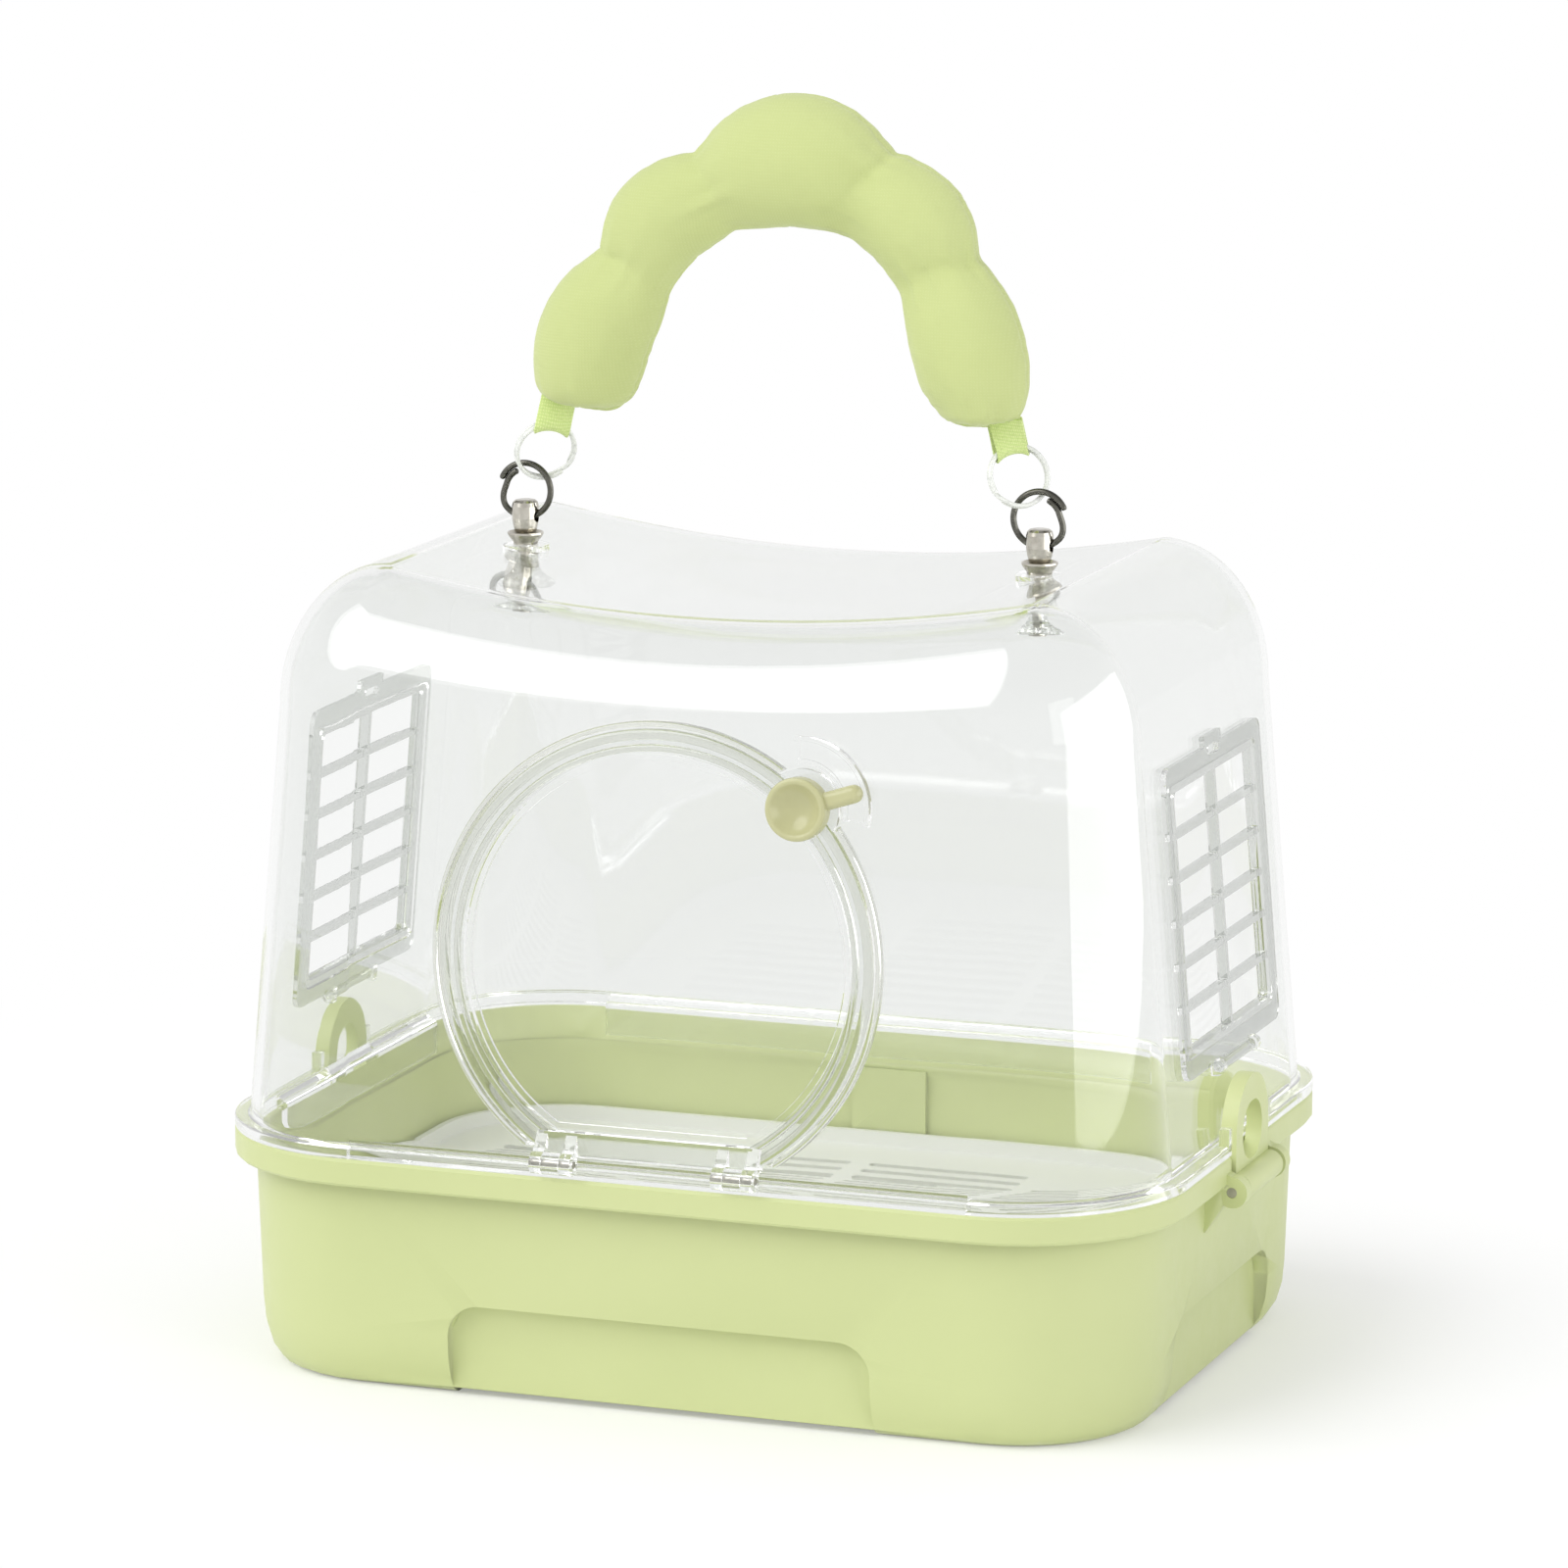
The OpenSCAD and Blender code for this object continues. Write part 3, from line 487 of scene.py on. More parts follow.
@dataclass(frozen=True)
class WovenTape(Finish):
    """Narrow woven tape: weft ribs across it, closer warp threads along it. Its UV is in metres."""

    colour: str
    # Painted shade: the darker colour drawn in the low places between the ribs and threads, with
    # random tone from the fuzz
    shade: str
    rib_mm: float = 1.0
    warp_mm: float = 0.7
    rib_deep_mm: float = 0.1
    rough: tuple[float, float] = (0.6, 0.8)

    def shader(self, tree: bpy.types.NodeTree) -> bpy.types.NodeSocket:
        """Adds ribs and threads by the tape's own UV, with painted shade between them: u runs across
        it and v along it.

        Args:
            tree: the material's tree.

        Returns:
            The shader's output.
        """
        place = add(tree, "ShaderNodeTexCoord").outputs["UV"]
        ribs, warp = (
            add(
                tree,
                "ShaderNodeTexWave",
                {"Vector": place, "Scale": bands_per_metre(size)},
                bands_direction=way,
            ).outputs[1]
            for way, size in (("Y", self.rib_mm), ("X", self.warp_mm))
        )
        woven = add(tree, "ShaderNodeMath", {0: ribs, 1: warp}, operation="MULTIPLY").outputs[0]
        fuzz = add(
            tree, "ShaderNodeTexNoise", {"Vector": place, "Scale": per_metre(0.9), "Detail": 3.0}
        ).outputs[0]
        mixed = add(tree, "ShaderNodeMath", {0: woven, 1: fuzz}, operation="ADD").outputs[0]
        # Painted shade where the weave is low, mixed with the fuzz's random tone
        colour = mottled(
            tree, mixed, (0.4, 1.5), (1.0, 0.0), linear(self.colour), linear(self.shade)
        )
        inputs = {"Base Color": colour, "Sheen Weight": 0.15}
        return surface(tree, mixed, self.rib_deep_mm, fuzz, (0.3, 0.7), self.rough, inputs, 0.8)


@dataclass(frozen=True)
class StudioFloor(Finish):
    """Matt pale studio paper: it keeps the object's shadow, and is white further out."""

    colour: str
    shadow_r_mm: float = 150.0
    white_r_mm: float = 520.0
    least_white: float = 0.3

    def shader(self, tree: bpy.types.NodeTree) -> bpy.types.NodeSocket:
        """Adds matt paper that turns plain white where the eye sees it far out.

        Args:
            tree: the material's tree.

        Returns:
            The shader's output.
        """
        place = add(tree, "ShaderNodeTexCoord").outputs["Object"]
        tooth = add(tree, "ShaderNodeTexNoise", {"Vector": place, "Scale": per_metre(4)}).outputs[0]
        bump = add(tree, "ShaderNodeBump", {"Height": tooth, "Distance": 0.02 * MM})
        paper = add(
            tree, "ShaderNodeBsdfDiffuse", {"Color": linear(self.colour), "Normal": bump.outputs[0]}
        )
        white = add(tree, "ShaderNodeEmission", {"Color": (1, 1, 1, 1), "Strength": 1.0})
        away = add(tree, "ShaderNodeVectorMath", {0: place}, operation="LENGTH").outputs[1]
        near, out = self.shadow_r_mm * MM, self.white_r_mm * MM
        ranges = dict(zip(RANGES, (near, out, self.least_white, 1.0)))
        far = add(tree, "ShaderNodeMapRange", {"Value": away, **ranges}).outputs[0]
        path = add(tree, "ShaderNodeLightPath")
        seen = path.outputs["Is Camera Ray"]
        for kind in ("Is Glossy Ray", "Is Transmission Ray"):
            seen = add(
                tree, "ShaderNodeMath", {0: seen, 1: path.outputs[kind]}, operation="MAXIMUM"
            ).outputs[0]
        share = add(tree, "ShaderNodeMath", {0: far, 1: seen}, operation="MULTIPLY")
        mix = add(
            tree,
            "ShaderNodeMixShader",
            {0: share.outputs[0], 1: paper.outputs[0], 2: white.outputs[0]},
        )
        return mix.outputs[0]


# What each slot of the record is made of
FINISHES: dict[Slot, Finish] = {
    # Polypropylene, injection moulded: soft satin gloss over an even grain
    Slot.TUB: MouldedPlastic("moulded_polypropylene_green", "CAD299", "C0CA8E", 0.4),
    # The same plastic in white, a little rougher because the plate was moulded textured
    Slot.GRATE: MouldedPlastic(
        "moulded_polypropylene_white", "E7E8E3", "DEE0DA", 0.45, 0.9, 0.02
    ),
    # Styrene in a polished mould: clear as glass, with thin grey edges of painted shade where it is
    # seen edge-on
    Slot.CLEAR: ClearPlastic("clear_styrene", "F6F7F6", "B4B6B2"),
    # ABS from a polished mould: the glossiest of the coloured pieces
    Slot.KNOB: MouldedPlastic("moulded_abs_straw", "BDBC90", "B3B284", 0.2, 0.5, 0.004),
    # Nickel plate over turned brass: bright, slightly warm
    Slot.NICKEL: Metal("nickel_plate", "C9C5BB", "A9A498", 0.14),
    # Black nickel over steel wire: dark, with a soft gloss
    Slot.DARK_NICKEL: Metal("black_nickel_plate", "6A6962", "4C4B45", 0.24, 0.25),
    # Steel wire dipped in a pale plastic
    Slot.WIRE: DippedCoat("dipped_wire_coat", "E9EBE6", "C9CCC6"),
    # Drawn steel, bare: greyer and duller than the plate
    Slot.PIN: Metal("drawn_steel", "B5B2AA", "8F8C85", 0.3, 0.2),
    # Polyester tape, more saturated than the pad it hangs from, with a darker green for the painted
    # shade between its ribs
    Slot.WEBBING: WovenTape("polyester_tape", "E3EEA9", "C3D884"),
    # Brushed polyester cloth, the pale green of the pad, with a lighter green for the painted
    # highlight on its thread crossings
    Slot.PAD: PadCloth("brushed_polyester_cloth", "C6D08F", "B9C481", "D3DAA2"),
}


def dress(names: tuple[str, ...], slot: Slot, material: bpy.types.Material) -> None:
    """Gives CAD nodes their material and reports them.

    Args:
        names: the nodes.
        slot: the record's slot that they take it from.
        material: the material.
    """
    for name in names:
        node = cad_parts[name]
        for place in node.material_slots:
            place.material = material
        log.info("node %s: %s (%s)", name, material.name, slot.value)


# Meshes and node trees


def object_of(name: str, data: bpy.types.ID) -> bpy.types.Object:
    """Puts a mesh, a lamp or a camera into the scene, at the origin.

    Args:
        name: the object's name.
        data: what it shows.

    Returns:
        The object.
    """
    piece = bpy.data.objects.new(name, data)
    bpy.context.scene.collection.objects.link(piece)
    return piece


def dropped(piece: bpy.types.Object) -> None:
    """Removes an object and its mesh.

    Args:
        piece: the object.
    """
    mesh = piece.data
    bpy.data.objects.remove(piece)
    bpy.data.meshes.remove(mesh)


def released(work: bmesh.types.BMesh, name: str) -> bpy.types.Object:
    """Turns a closed working mesh into an object whose faces look outward.

    Args:
        work: the working mesh, which is freed.
        name: the object's name.

    Returns:
        The object.
    """
    bmesh.ops.recalc_face_normals(work, faces=work.faces)
    mesh = bpy.data.meshes.new(name)
    work.to_mesh(mesh)
    work.free()
    return object_of(name, mesh)


def read(vertices: bpy.types.bpy_prop_collection, key: str) -> np.ndarray:
    """Reads one vector of each vertex.

    Args:
        vertices: a mesh's vertices.
        key: which vector: co in metres, or normal.

    Returns:
        One row for each vertex.
    """
    held = np.empty(len(vertices) * 3, np.float32)
    vertices.foreach_get(key, held)
    return held.reshape(-1, 3).astype(float)


def moved(piece: bpy.types.Object, places: np.ndarray) -> None:
    """Puts a piece's vertices at new places, given in mm."""
    piece.data.vertices.foreach_set("co", (places * MM).astype(np.float32).ravel())
    piece.data.update()


def placed(piece: bpy.types.Object, slot: Slot, body: str, what: str, *nodes: str) -> None:
    """Hides the CAD nodes that a piece stands for, puts it on its moving body and reports it.

    Args:
        piece: the piece.
        slot: the record's slot, which is not used.
        body: the moving body that it rides.
        what: a few words for the report.
        nodes: the CAD nodes that it stands for.
    """
    if nodes:
        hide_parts(*nodes)
    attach(piece, body)
    log.info("piece %s: %s", piece.name, what)


def settle(piece: bpy.types.Object) -> None:
    """Turns an object's modifiers into its plain mesh.

    Args:
        piece: the object, which keeps its name and place.
    """
    graph = bpy.context.evaluated_depsgraph_get()
    graph.update()
    made = bpy.data.meshes.new_from_object(
        piece.evaluated_get(graph), preserve_all_data_layers=True, depsgraph=graph
    )
    old = piece.data
    piece.modifiers.clear()
    piece.data = made
    bpy.data.meshes.remove(old)
    made.name = piece.name


def empty_tree(name: str, sizes: dict[str, str]) -> tuple[bpy.types.NodeTree, dict]:
    """Makes a Geometry Nodes tree with named inputs.

    Args:
        name: the tree's name.
        sizes: each input's name and socket type, after the geometry.

    Returns:
        The tree, and the outputs of its group input by name.
    """
    tree = bpy.data.node_groups.new(name, "GeometryNodeTree")
    tree.interface.new_socket("Line", in_out="INPUT", socket_type="NodeSocketGeometry")
    for label, kind in sizes.items():
        tree.interface.new_socket(label, in_out="INPUT", socket_type=kind)
    tree.interface.new_socket("Mesh", in_out="OUTPUT", socket_type="NodeSocketGeometry")
    start = add(tree, "NodeGroupInput")
    return tree, {s.name: s for s in start.outputs if s.name}


def close_tree(tree: bpy.types.NodeTree, shape: bpy.types.NodeSocket, finish: object) -> None:
    """Ends a tree with Realize Instances, smooth shading and Set Material.

    Args:
        tree: the tree.
        shape: the output that holds the finished geometry.
        finish: the output of the tree's Material input.
    """
    real = add(tree, "GeometryNodeRealizeInstances", {0: shape}).outputs[0]
    smooth = add(tree, "GeometryNodeSetShadeSmooth", {0: real}).outputs[0]
    dressed = add(tree, "GeometryNodeSetMaterial", {0: smooth, "Material": finish}).outputs[0]
    add(tree, "NodeGroupOutput", {0: dressed})


def sweep_tree(name: str, twist: Twist) -> bpy.types.NodeTree:
    """Tree that sweeps an oval along a line whose points hold their half width.

    Args:
        name: the tree's name.
        twist: how the oval is kept from turning.

    Returns:
        The tree, with inputs for the oval's sides and depth, and the material.
    """
    tree, given = empty_tree(
        name,
        {"Sides": "NodeSocketInt", "Depth": "NodeSocketFloat", "Material": "NodeSocketMaterial"},
    )
    line = add(tree, "GeometryNodeMeshToCurve", {0: given["Line"]}).outputs[0]
    kept = add(tree, "GeometryNodeSetCurveNormal", {0: line}, mode=twist.value).outputs[0]
    half = add(
        tree, "GeometryNodeInputNamedAttribute", {"Name": "half"}, data_type="FLOAT"
    ).outputs[0]
    oval = add(
        tree, "GeometryNodeCurvePrimitiveCircle", {"Resolution": given["Sides"], "Radius": 1.0}
    ).outputs[0]
    scale = add(tree, "ShaderNodeCombineXYZ", {0: given["Depth"], 1: 1.0, 2: 1.0}).outputs[0]
    pressed = add(tree, "GeometryNodeTransform", {"Geometry": oval, "Scale": scale}).outputs[0]
    swept = add(
        tree,
        "GeometryNodeCurveToMesh",
        {"Curve": kept, "Profile Curve": pressed, "Scale": half, "Fill Caps": True},
    ).outputs[0]
    close_tree(tree, swept, given["Material"])
    return tree


def stitch_tree() -> bpy.types.NodeTree:
    """Tree that lays a row of stitches along a line.

    Returns:
        The tree, with inputs for the stitches' pitch, length, thickness and seed.
    """
    tree, given = empty_tree(
        "stitch_row",
        {
            "Pitch": "NodeSocketFloat",
            "Length": "NodeSocketFloat",
            "Thickness": "NodeSocketFloat",
            "Seed": "NodeSocketInt",
            "Material": "NodeSocketMaterial",
        },
    )
    line = add(tree, "GeometryNodeMeshToCurve", {0: given["Line"]}).outputs[0]
    spaced = add(
        tree, "GeometryNodeResampleCurve", {"Curve": line, "Length": given["Pitch"]}, mode="LENGTH"
    ).outputs[0]
    bead = add(
        tree, "GeometryNodeMeshUVSphere", {"Segments": 8, "Rings": 6, "Radius": 0.5}
    ).outputs[0]
    size = add(
        tree,
        "ShaderNodeCombineXYZ",
        {0: given["Length"], 1: given["Thickness"], 2: given["Thickness"]},
    ).outputs[0]
    stitch = add(tree, "GeometryNodeTransform", {"Geometry": bead, "Scale": size}).outputs[0]
    along = add(tree, "GeometryNodeInputTangent").outputs[0]
    sway = add(
        tree,
        "FunctionNodeRandomValue",
        {"Min": (-0.08, -0.08, -0.08), "Max": (0.08, 0.08, 0.08), "Seed": given["Seed"]},
        data_type="FLOAT_VECTOR",
    ).outputs[0]
    way = add(tree, "ShaderNodeVectorMath", {0: along, 1: sway}, operation="ADD").outputs[0]
    turned = add(tree, "FunctionNodeAlignRotationToVector", {"Vector": way}, axis="X").outputs[0]
    row = add(
        tree,
        "GeometryNodeInstanceOnPoints",
        {"Points": spaced, "Instance": stitch, "Rotation": turned},
    ).outputs[0]
    close_tree(tree, row, given["Material"])
    return tree


def grown(
    name: str,
    tree: bpy.types.NodeTree,
    line: np.ndarray,
    half: np.ndarray | None,
    sizes: dict[str, object],
) -> bpy.types.Object:
    """Runs a tree on an open line and keeps the result as a plain mesh.

    Args:
        name: the new piece's name.
        tree: the Geometry Nodes tree.
        line: the line's points, in metres.
        half: each point's half width in metres, or None.
        sizes: the tree's inputs, by name.

    Returns:
        The piece, at the origin and with no modifier.
    """
    mesh = bpy.data.meshes.new(name)
    count = len(line)
    mesh.from_pydata([tuple(p) for p in line], [(i, i + 1) for i in range(count - 1)], [])
    if half is not None:
        held = mesh.attributes.new("half", "FLOAT", "POINT")
        held.data.foreach_set("value", np.asarray(half, np.float32))
    piece = object_of(name, mesh)
    modifier = piece.modifiers.new("shape", "NODES")
    sockets = {
        item.name: item.identifier
        for item in tree.interface.items_tree
        if item.item_type == "SOCKET" and item.in_out == "INPUT"
    }
    modifier.node_group = tree
    for label, value in sizes.items():
        modifier[sockets[label]] = value
    settle(piece)
    return piece


def smooth_noise(seed: int, where: np.ndarray, step: float) -> np.ndarray:
    """One-dimensional noise from -1 to 1 that changes over about step.

    Args:
        seed: the noise's fixed seed.
        where: the places that it is read at.
        step: the distance over which it changes.

    Returns:
        The noise at each place.
    """
    table = np.random.default_rng(seed).uniform(-1, 1, 4096)
    t = np.asarray(where) / step + 2048
    low = np.floor(t).astype(int)
    u = t - low
    u = u * u * (3 - 2 * u)
    return table[low % 4096] * (1 - u) + table[(low + 1) % 4096] * u


def hump(away: np.ndarray, half: float) -> np.ndarray:
    """A smooth hump of height 1 that falls off over about half on each side."""
    return np.exp(-((away / half) ** 2))


def joined(name: str, parts: list[bpy.types.Object]) -> bpy.types.Object:
    """Makes one object of several, and removes them.

    Args:
        name: the new object's name.
        parts: the objects, which may not overlap.

    Returns:
        The object that holds all their faces.
    """
    work = bmesh.new()
    for part in parts:
        work.from_mesh(part.data)
        dropped(part)
    mesh = bpy.data.meshes.new(name)
    work.to_mesh(mesh)
    work.free()
    return object_of(name, mesh)


def carved(base: bpy.types.Object, tool: bpy.types.Object, way: Carve) -> bpy.types.Object:
    """Adds one closed shape to another or cuts it away, and removes it.

    Args:
        base: the shape that changes.
        tool: the shape that is added or cut away.
        way: which of the two.

    Returns:
        The changed shape.
    """
    step = base.modifiers.new("carve", "BOOLEAN")
    step.operation = way.value
    step.solver = "MANIFOLD"
    step.object = tool
    settle(base)
    dropped(tool)
    return base


def prism(
    outline: list[tuple[float, float]], place: Matrix, low: float, high: float
) -> bpy.types.Object:
    """Extrudes an outline.

    Args:
        outline: the outline's points in mm, in the place's own x and y.
        place: the matrix from there to the carrier's frame, in mm.
        low: the local z of one end, in mm.
        high: the local z of the other end.

    Returns:
        The closed shape, in metres.
    """
    work = bmesh.new()
    rings = [
        [work.verts.new((place @ Vector((x, y, z))) * MM) for x, y in outline] for z in (low, high)
    ]
    count = len(outline)
    for ring in rings:
        work.faces.new(ring)
    for i in range(count):
        j = (i + 1) % count
        work.faces.new((rings[0][i], rings[0][j], rings[1][j], rings[1][i]))
    return released(work, "prism")


def skin(
    rows: list[list[tuple[float, float, float]]], place: Matrix, looped: bool, closed: bool = True
) -> bpy.types.Object:
    """Makes a closed shape from lines of points that lie side by side.

    Args:
        rows: the lines, each with as many points, in mm.
        place: the matrix from their own frame to the carrier's, in mm.
        looped: whether the last line lies beside the first, as round a ring's section.
        closed: whether each line's end meets its start.

    Returns:
        The closed shape, in metres.
    """
    work = bmesh.new()
    lines = [[work.verts.new((place @ Vector(p)) * MM) for p in row] for row in rows]
    count = len(lines[0])
    for i in range(len(lines) if looped else len(lines) - 1):
        line, after = lines[i], lines[(i + 1) % len(lines)]
        for j in range(count if closed else count - 1):
            k = (j + 1) % count
            work.faces.new((line[j], line[k], after[k], after[j]))
    if not closed:
        work.faces.new([line[0] for line in lines])
        work.faces.new([line[-1] for line in lines])
    if not looped:
        work.faces.new(lines[0])
        work.faces.new(lines[-1])
    return released(work, "skin")


def block(centre: tuple[float, float, float], size: tuple[float, float, float]) -> bpy.types.Object:
    """Makes a box.

    Args:
        centre: its centre in mm.
        size: its three sizes in mm.

    Returns:
        The closed box, in metres.
    """
    x, y = size[0] / 2, size[1] / 2
    outline = [(-x, -y), (x, -y), (x, y), (-x, y)]
    return prism(outline, Matrix.Translation(centre), -size[2] / 2, size[2] / 2)


def arc(
    radius: float, start: float, end: float, steps: int, at: tuple[float, float] = (0, 0)
) -> list[tuple[float, float]]:
    """Points on a circle from one angle to another, in degrees, both ends kept."""
    return [
        (at[0] + radius * math.cos(math.radians(a)), at[1] + radius * math.sin(math.radians(a)))
        for a in np.linspace(start, end, steps + 1)
    ]


def disc(
    radius: float, at: tuple[float, float] = (0, 0), steps: int = 64
) -> list[tuple[float, float]]:
    """Points round a whole circle."""
    return arc(radius, 0, 360, steps, at)[:-1]


def raised(outline: list[tuple[float, float]], z: float) -> list[tuple[float, float, float]]:
    """Puts an outline at a height."""
    return [(x, y, z) for x, y in outline]


def shaded(piece: bpy.types.Object, sharp: float) -> None:
    """Shades a piece smooth between its sharp edges, with its large faces left flat.

    Args:
        piece: the piece, with its doubles merged.
        sharp: the least angle of an edge that stays sharp, in degrees.
    """
    piece.data.shade_smooth()
    piece.data.set_sharp_from_angle(angle=math.radians(sharp))
    weigh = piece.modifiers.new("flat_faces", "WEIGHTED_NORMAL")
    weigh.keep_sharp = True
    settle(piece)


def finished(
    piece: bpy.types.Object,
    name: str,
    nodes: list[str],
    body: str,
    slot: Slot,
    *materials: bpy.types.Material,
) -> None:
    """Merges, names, dresses and places a moulded piece that stands for CAD nodes.

    Args:
        piece: the piece.
        name: its name.
        nodes: the nodes that it stands for.
        body: the moving body that it rides.
        slot: the record's slot that it takes its finish from.
        materials: its materials, the first on every face.
    """
    work = bmesh.new()
    work.from_mesh(piece.data)
    bmesh.ops.remove_doubles(work, verts=work.verts, dist=0.002 * MM)
    open_edges = sum(not edge.is_manifold for edge in work.edges)
    work.to_mesh(piece.data)
    work.free()
    piece.name = piece.data.name = name
    piece.data.materials.clear()
    for material in materials:
        piece.data.materials.append(material)
    what = f"{len(piece.data.polygons)} faces, {open_edges} open edges"
    placed(piece, slot, body, what, *nodes)


def smooth_copy(node: str, name: str, body: str, slot: Slot, material: bpy.types.Material) -> None:
    """Copies a CAD node and shades its faceted curves smooth.

    Args:
        node: the node.
        name: the copy's name.
        body: the moving body that it rides.
        slot: the record's slot that it takes its finish from.
        material: its finish.
    """
    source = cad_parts[node]
    piece = object_of(name, source.data.copy())
    piece.data.transform(source.matrix_world)
    finished(piece, name, [node], body, slot, material)
    shaded(piece, LEAST_SHARP)


def band(
    inner: float, outer: float, start: float, end: float, at: tuple[float, float] = (0, 0)
) -> list[tuple[float, float]]:
    """Outline of a part of a ring, between two radii and two angles in degrees."""
    steps = max(6, int(abs(end - start) / 3))
    return arc(outer, start, end, steps, at) + arc(inner, end, start, steps, at)


# The hard pieces


@dataclass
class TubAssembly:
    """The pale green tub with its white floor grate and its two side latches."""

    green: tuple[tuple[str, str, str], ...] = (
        ("base_tub", "tub_moulding", "tub"),
        ("latch_left", "latch_moulding_left", "latch_left"),
        ("latch_right", "latch_moulding_right", "latch_right"),
    )
    grate: tuple[str, ...] = ("floor_grate",)
    pins: tuple[str, ...] = ("latch_pin_left", "latch_pin_right")

    def build(self, materials: dict[Slot, bpy.types.Material]) -> None:
        """Dresses the tub's pieces.

        Args:
            materials: each slot's material.
        """
        for node, name, body in self.green:
            smooth_copy(node, name, body, Slot.TUB, materials[Slot.TUB])
        dress(self.grate, Slot.GRATE, materials[Slot.GRATE])
        dress(self.pins, Slot.PIN, materials[Slot.PIN])


@dataclass
class CoverAssembly:
    """The clear dome with its round front door, turning knob and two side vents."""

    # The rim, the wall and the top
    rim_w: float = 290.0
    rim_d: float = 218.0
    rim_r: float = 50.0
    flange_z: float = 70.1
    foot_z: float = 73.5
    foot_in: float = 4.5
    lean: float = 4.83
    wall: float = 2.5
    shoulder_z: float = 195.0
    shoulder_in: float = 32.0
    crown_z: float = 226.0
    saddle: float = 9.0
    saddle_x: float = 95.0
    corner_steps: int = 22
    along_steps: int = 35
    rise_steps: int = 20
    # The ribs under the rim that keep the cover in the tub
    rib_from: float = 8.9
    rib_to: float = 10.9
    rib_z: float = 62.0
    # The door, its opening and the collar round it. Each ridge has its inset and its width
    door_z: float = 134.0
    door_foot: float = -57.3
    door_r: float = 65.6
    plate: tuple[float, float] = (0.3, 2.0)
    ridges: tuple[tuple[float, float], ...] = ((0.02, 3.1), (4.3, 2.1))
    ridge_band: float = 9.5
    bead: float = 2.9
    lip: tuple[float, float] = (0.7, 2.5)
    open_r: float = 59.0
    open_foot: float = 6.0
    collar_in: float = 66.2
    collar_t: float = 1.6
    collar_foot: float = 1.5
    # The knob: radius and height of its turned side, and inset and height of its lever's side
    knob_at: tuple[float, float] = (42.8, 46.2)
    knob_z: float = 3.1
    knob_side: tuple[tuple[float, float], ...] = (
        (8.3, 0), (8.8, 0.2), (9, 0.7), (9, 4.3), (8.8, 5.0), (8.3, 5.35), (7.8, 5.4), (7.35, 5.2)
    )
    knob_hollow: tuple[float, float] = (7.1, 3.6)
    knob_floor: float = 1.35
    lever_side: tuple[tuple[float, float], ...] = (
        (1.2, 0.2), (0.4, 0.4), (0, 0.9), (0, 2.4), (0.4, 3.3), (1.2, 3.9), (2, 4)
    )
    lever_half: float = 2.6
    lever_run: tuple[float, float] = (5.6, 16.9)
    lever_turn: float = 18.0
    shaft_r: float = 2.6
    shaft_bore: float = 2.65
    screw_bore: float = 1.25
    knob_pad_r: float = 11.0
    knob_pad_gap: float = 0.8
    knob_room_r: float = 7.5
    guide: tuple[float, float, float, float] = (12.6, 20.0, -12.0, 97.0)
    guide_lip: float = 1.2
    guide_deep: float = 0.7
    # The door's hinge
    hinge_x: float = 27.5
    hinge_y: float = -110.9
    hinge_z: float = 75.0
    knuckle_r: float = 3.2
    knuckle_half: float = 1.7
    knuckle_step: float = 4.5
    knuckle_gap: float = 0.2
    lug_w: float = 5.2
    lug_root: tuple[float, float, float] = (8.0, 0.4, 1.4)
    pin_bore: float = 1.05
    fork_arm: tuple[tuple[float, float], ...] = (
        (0, 3.2), (-4, 8.5), (-6.4, 8.5), (-6.4, 1.6), (-3, 1.6)
    )
    fork_bar: tuple[float, float, float] = (8.0, 2.8, 7.0)
    fork_bar_at: tuple[float, float] = (4.8, 5.0)
    # The vents, the handle's posts and the notches for the latches
    vent_z: float = 142.25
    vent_hole: tuple[float, float] = (84.0, 80.0)
    vent_corner: float = 3.0
    vent_axis: tuple[float, float] = (-46.6, 1.9)
    vent_ear: tuple[float, float] = (16.8, 3.0)
    ear_r: float = 2.3
    post_x: float = 80.0
    boss_r: float = 7.0
    boss_rise: tuple[float, float] = (0.8, 0.9)
    spindle_bore: float = 1.75
    notch_w: float = 34.6
    lip_x: float = 141.1
    latch_guide: tuple[float, float, float] = (3.0, 3.0, 6.0)
    latch_guide_at: tuple[float, float, float] = (2.5, 1.6, 2.0)
    clear: tuple[str, ...] = ("vent_left", "vent_right", "swivel_bush_left", "swivel_bush_right")
    pins: tuple[str, ...] = ("door_hinge_pin_left", "door_hinge_pin_right", "knob_screw")

    def build(self, materials: dict[Slot, bpy.types.Material]) -> None:
        """Makes the dome, the door and the knob, and dresses the cover's other pieces.

        Args:
            materials: each slot's material.
        """
        # The same styrene in a half-round ridge, with painted grey-green shade in its tint and
        # darker painted shade where it is seen edge-on, for the band that its depth shows
        rim = ClearPlastic("clear_styrene_rim", "DDDFD5", "8E9183", painted_edge_from=0.2).material()
        # The same styrene in the thin bars of the vents, with painted grey shade in their tint and
        # darker painted shade where they are seen edge-on, for the grey that their many edges show
        thin = ClearPlastic("clear_styrene_bars", "DCDEDB", "7A7D79", painted_edge_from=0.2).material()
        self.dome(materials[Slot.CLEAR], rim)
        self.door(materials[Slot.CLEAR], rim)
        self.knob_piece(materials[Slot.KNOB])
        dress(self.clear, Slot.CLEAR, thin)
        dress(self.pins, Slot.PIN, materials[Slot.PIN])

    def wall_in(self, z: float) -> float:
        """Inward distance in mm of the wall's face from the rim's edge at height z."""
        return self.foot_in + (z - self.foot_z) * math.tan(math.radians(self.lean))

    def top_z(self, x: float) -> float:
        """Height in mm of the dome's top at distance x from the middle."""
        return self.crown_z + self.saddle * (min(abs(x), self.saddle_x + 3) / self.saddle_x) ** 2

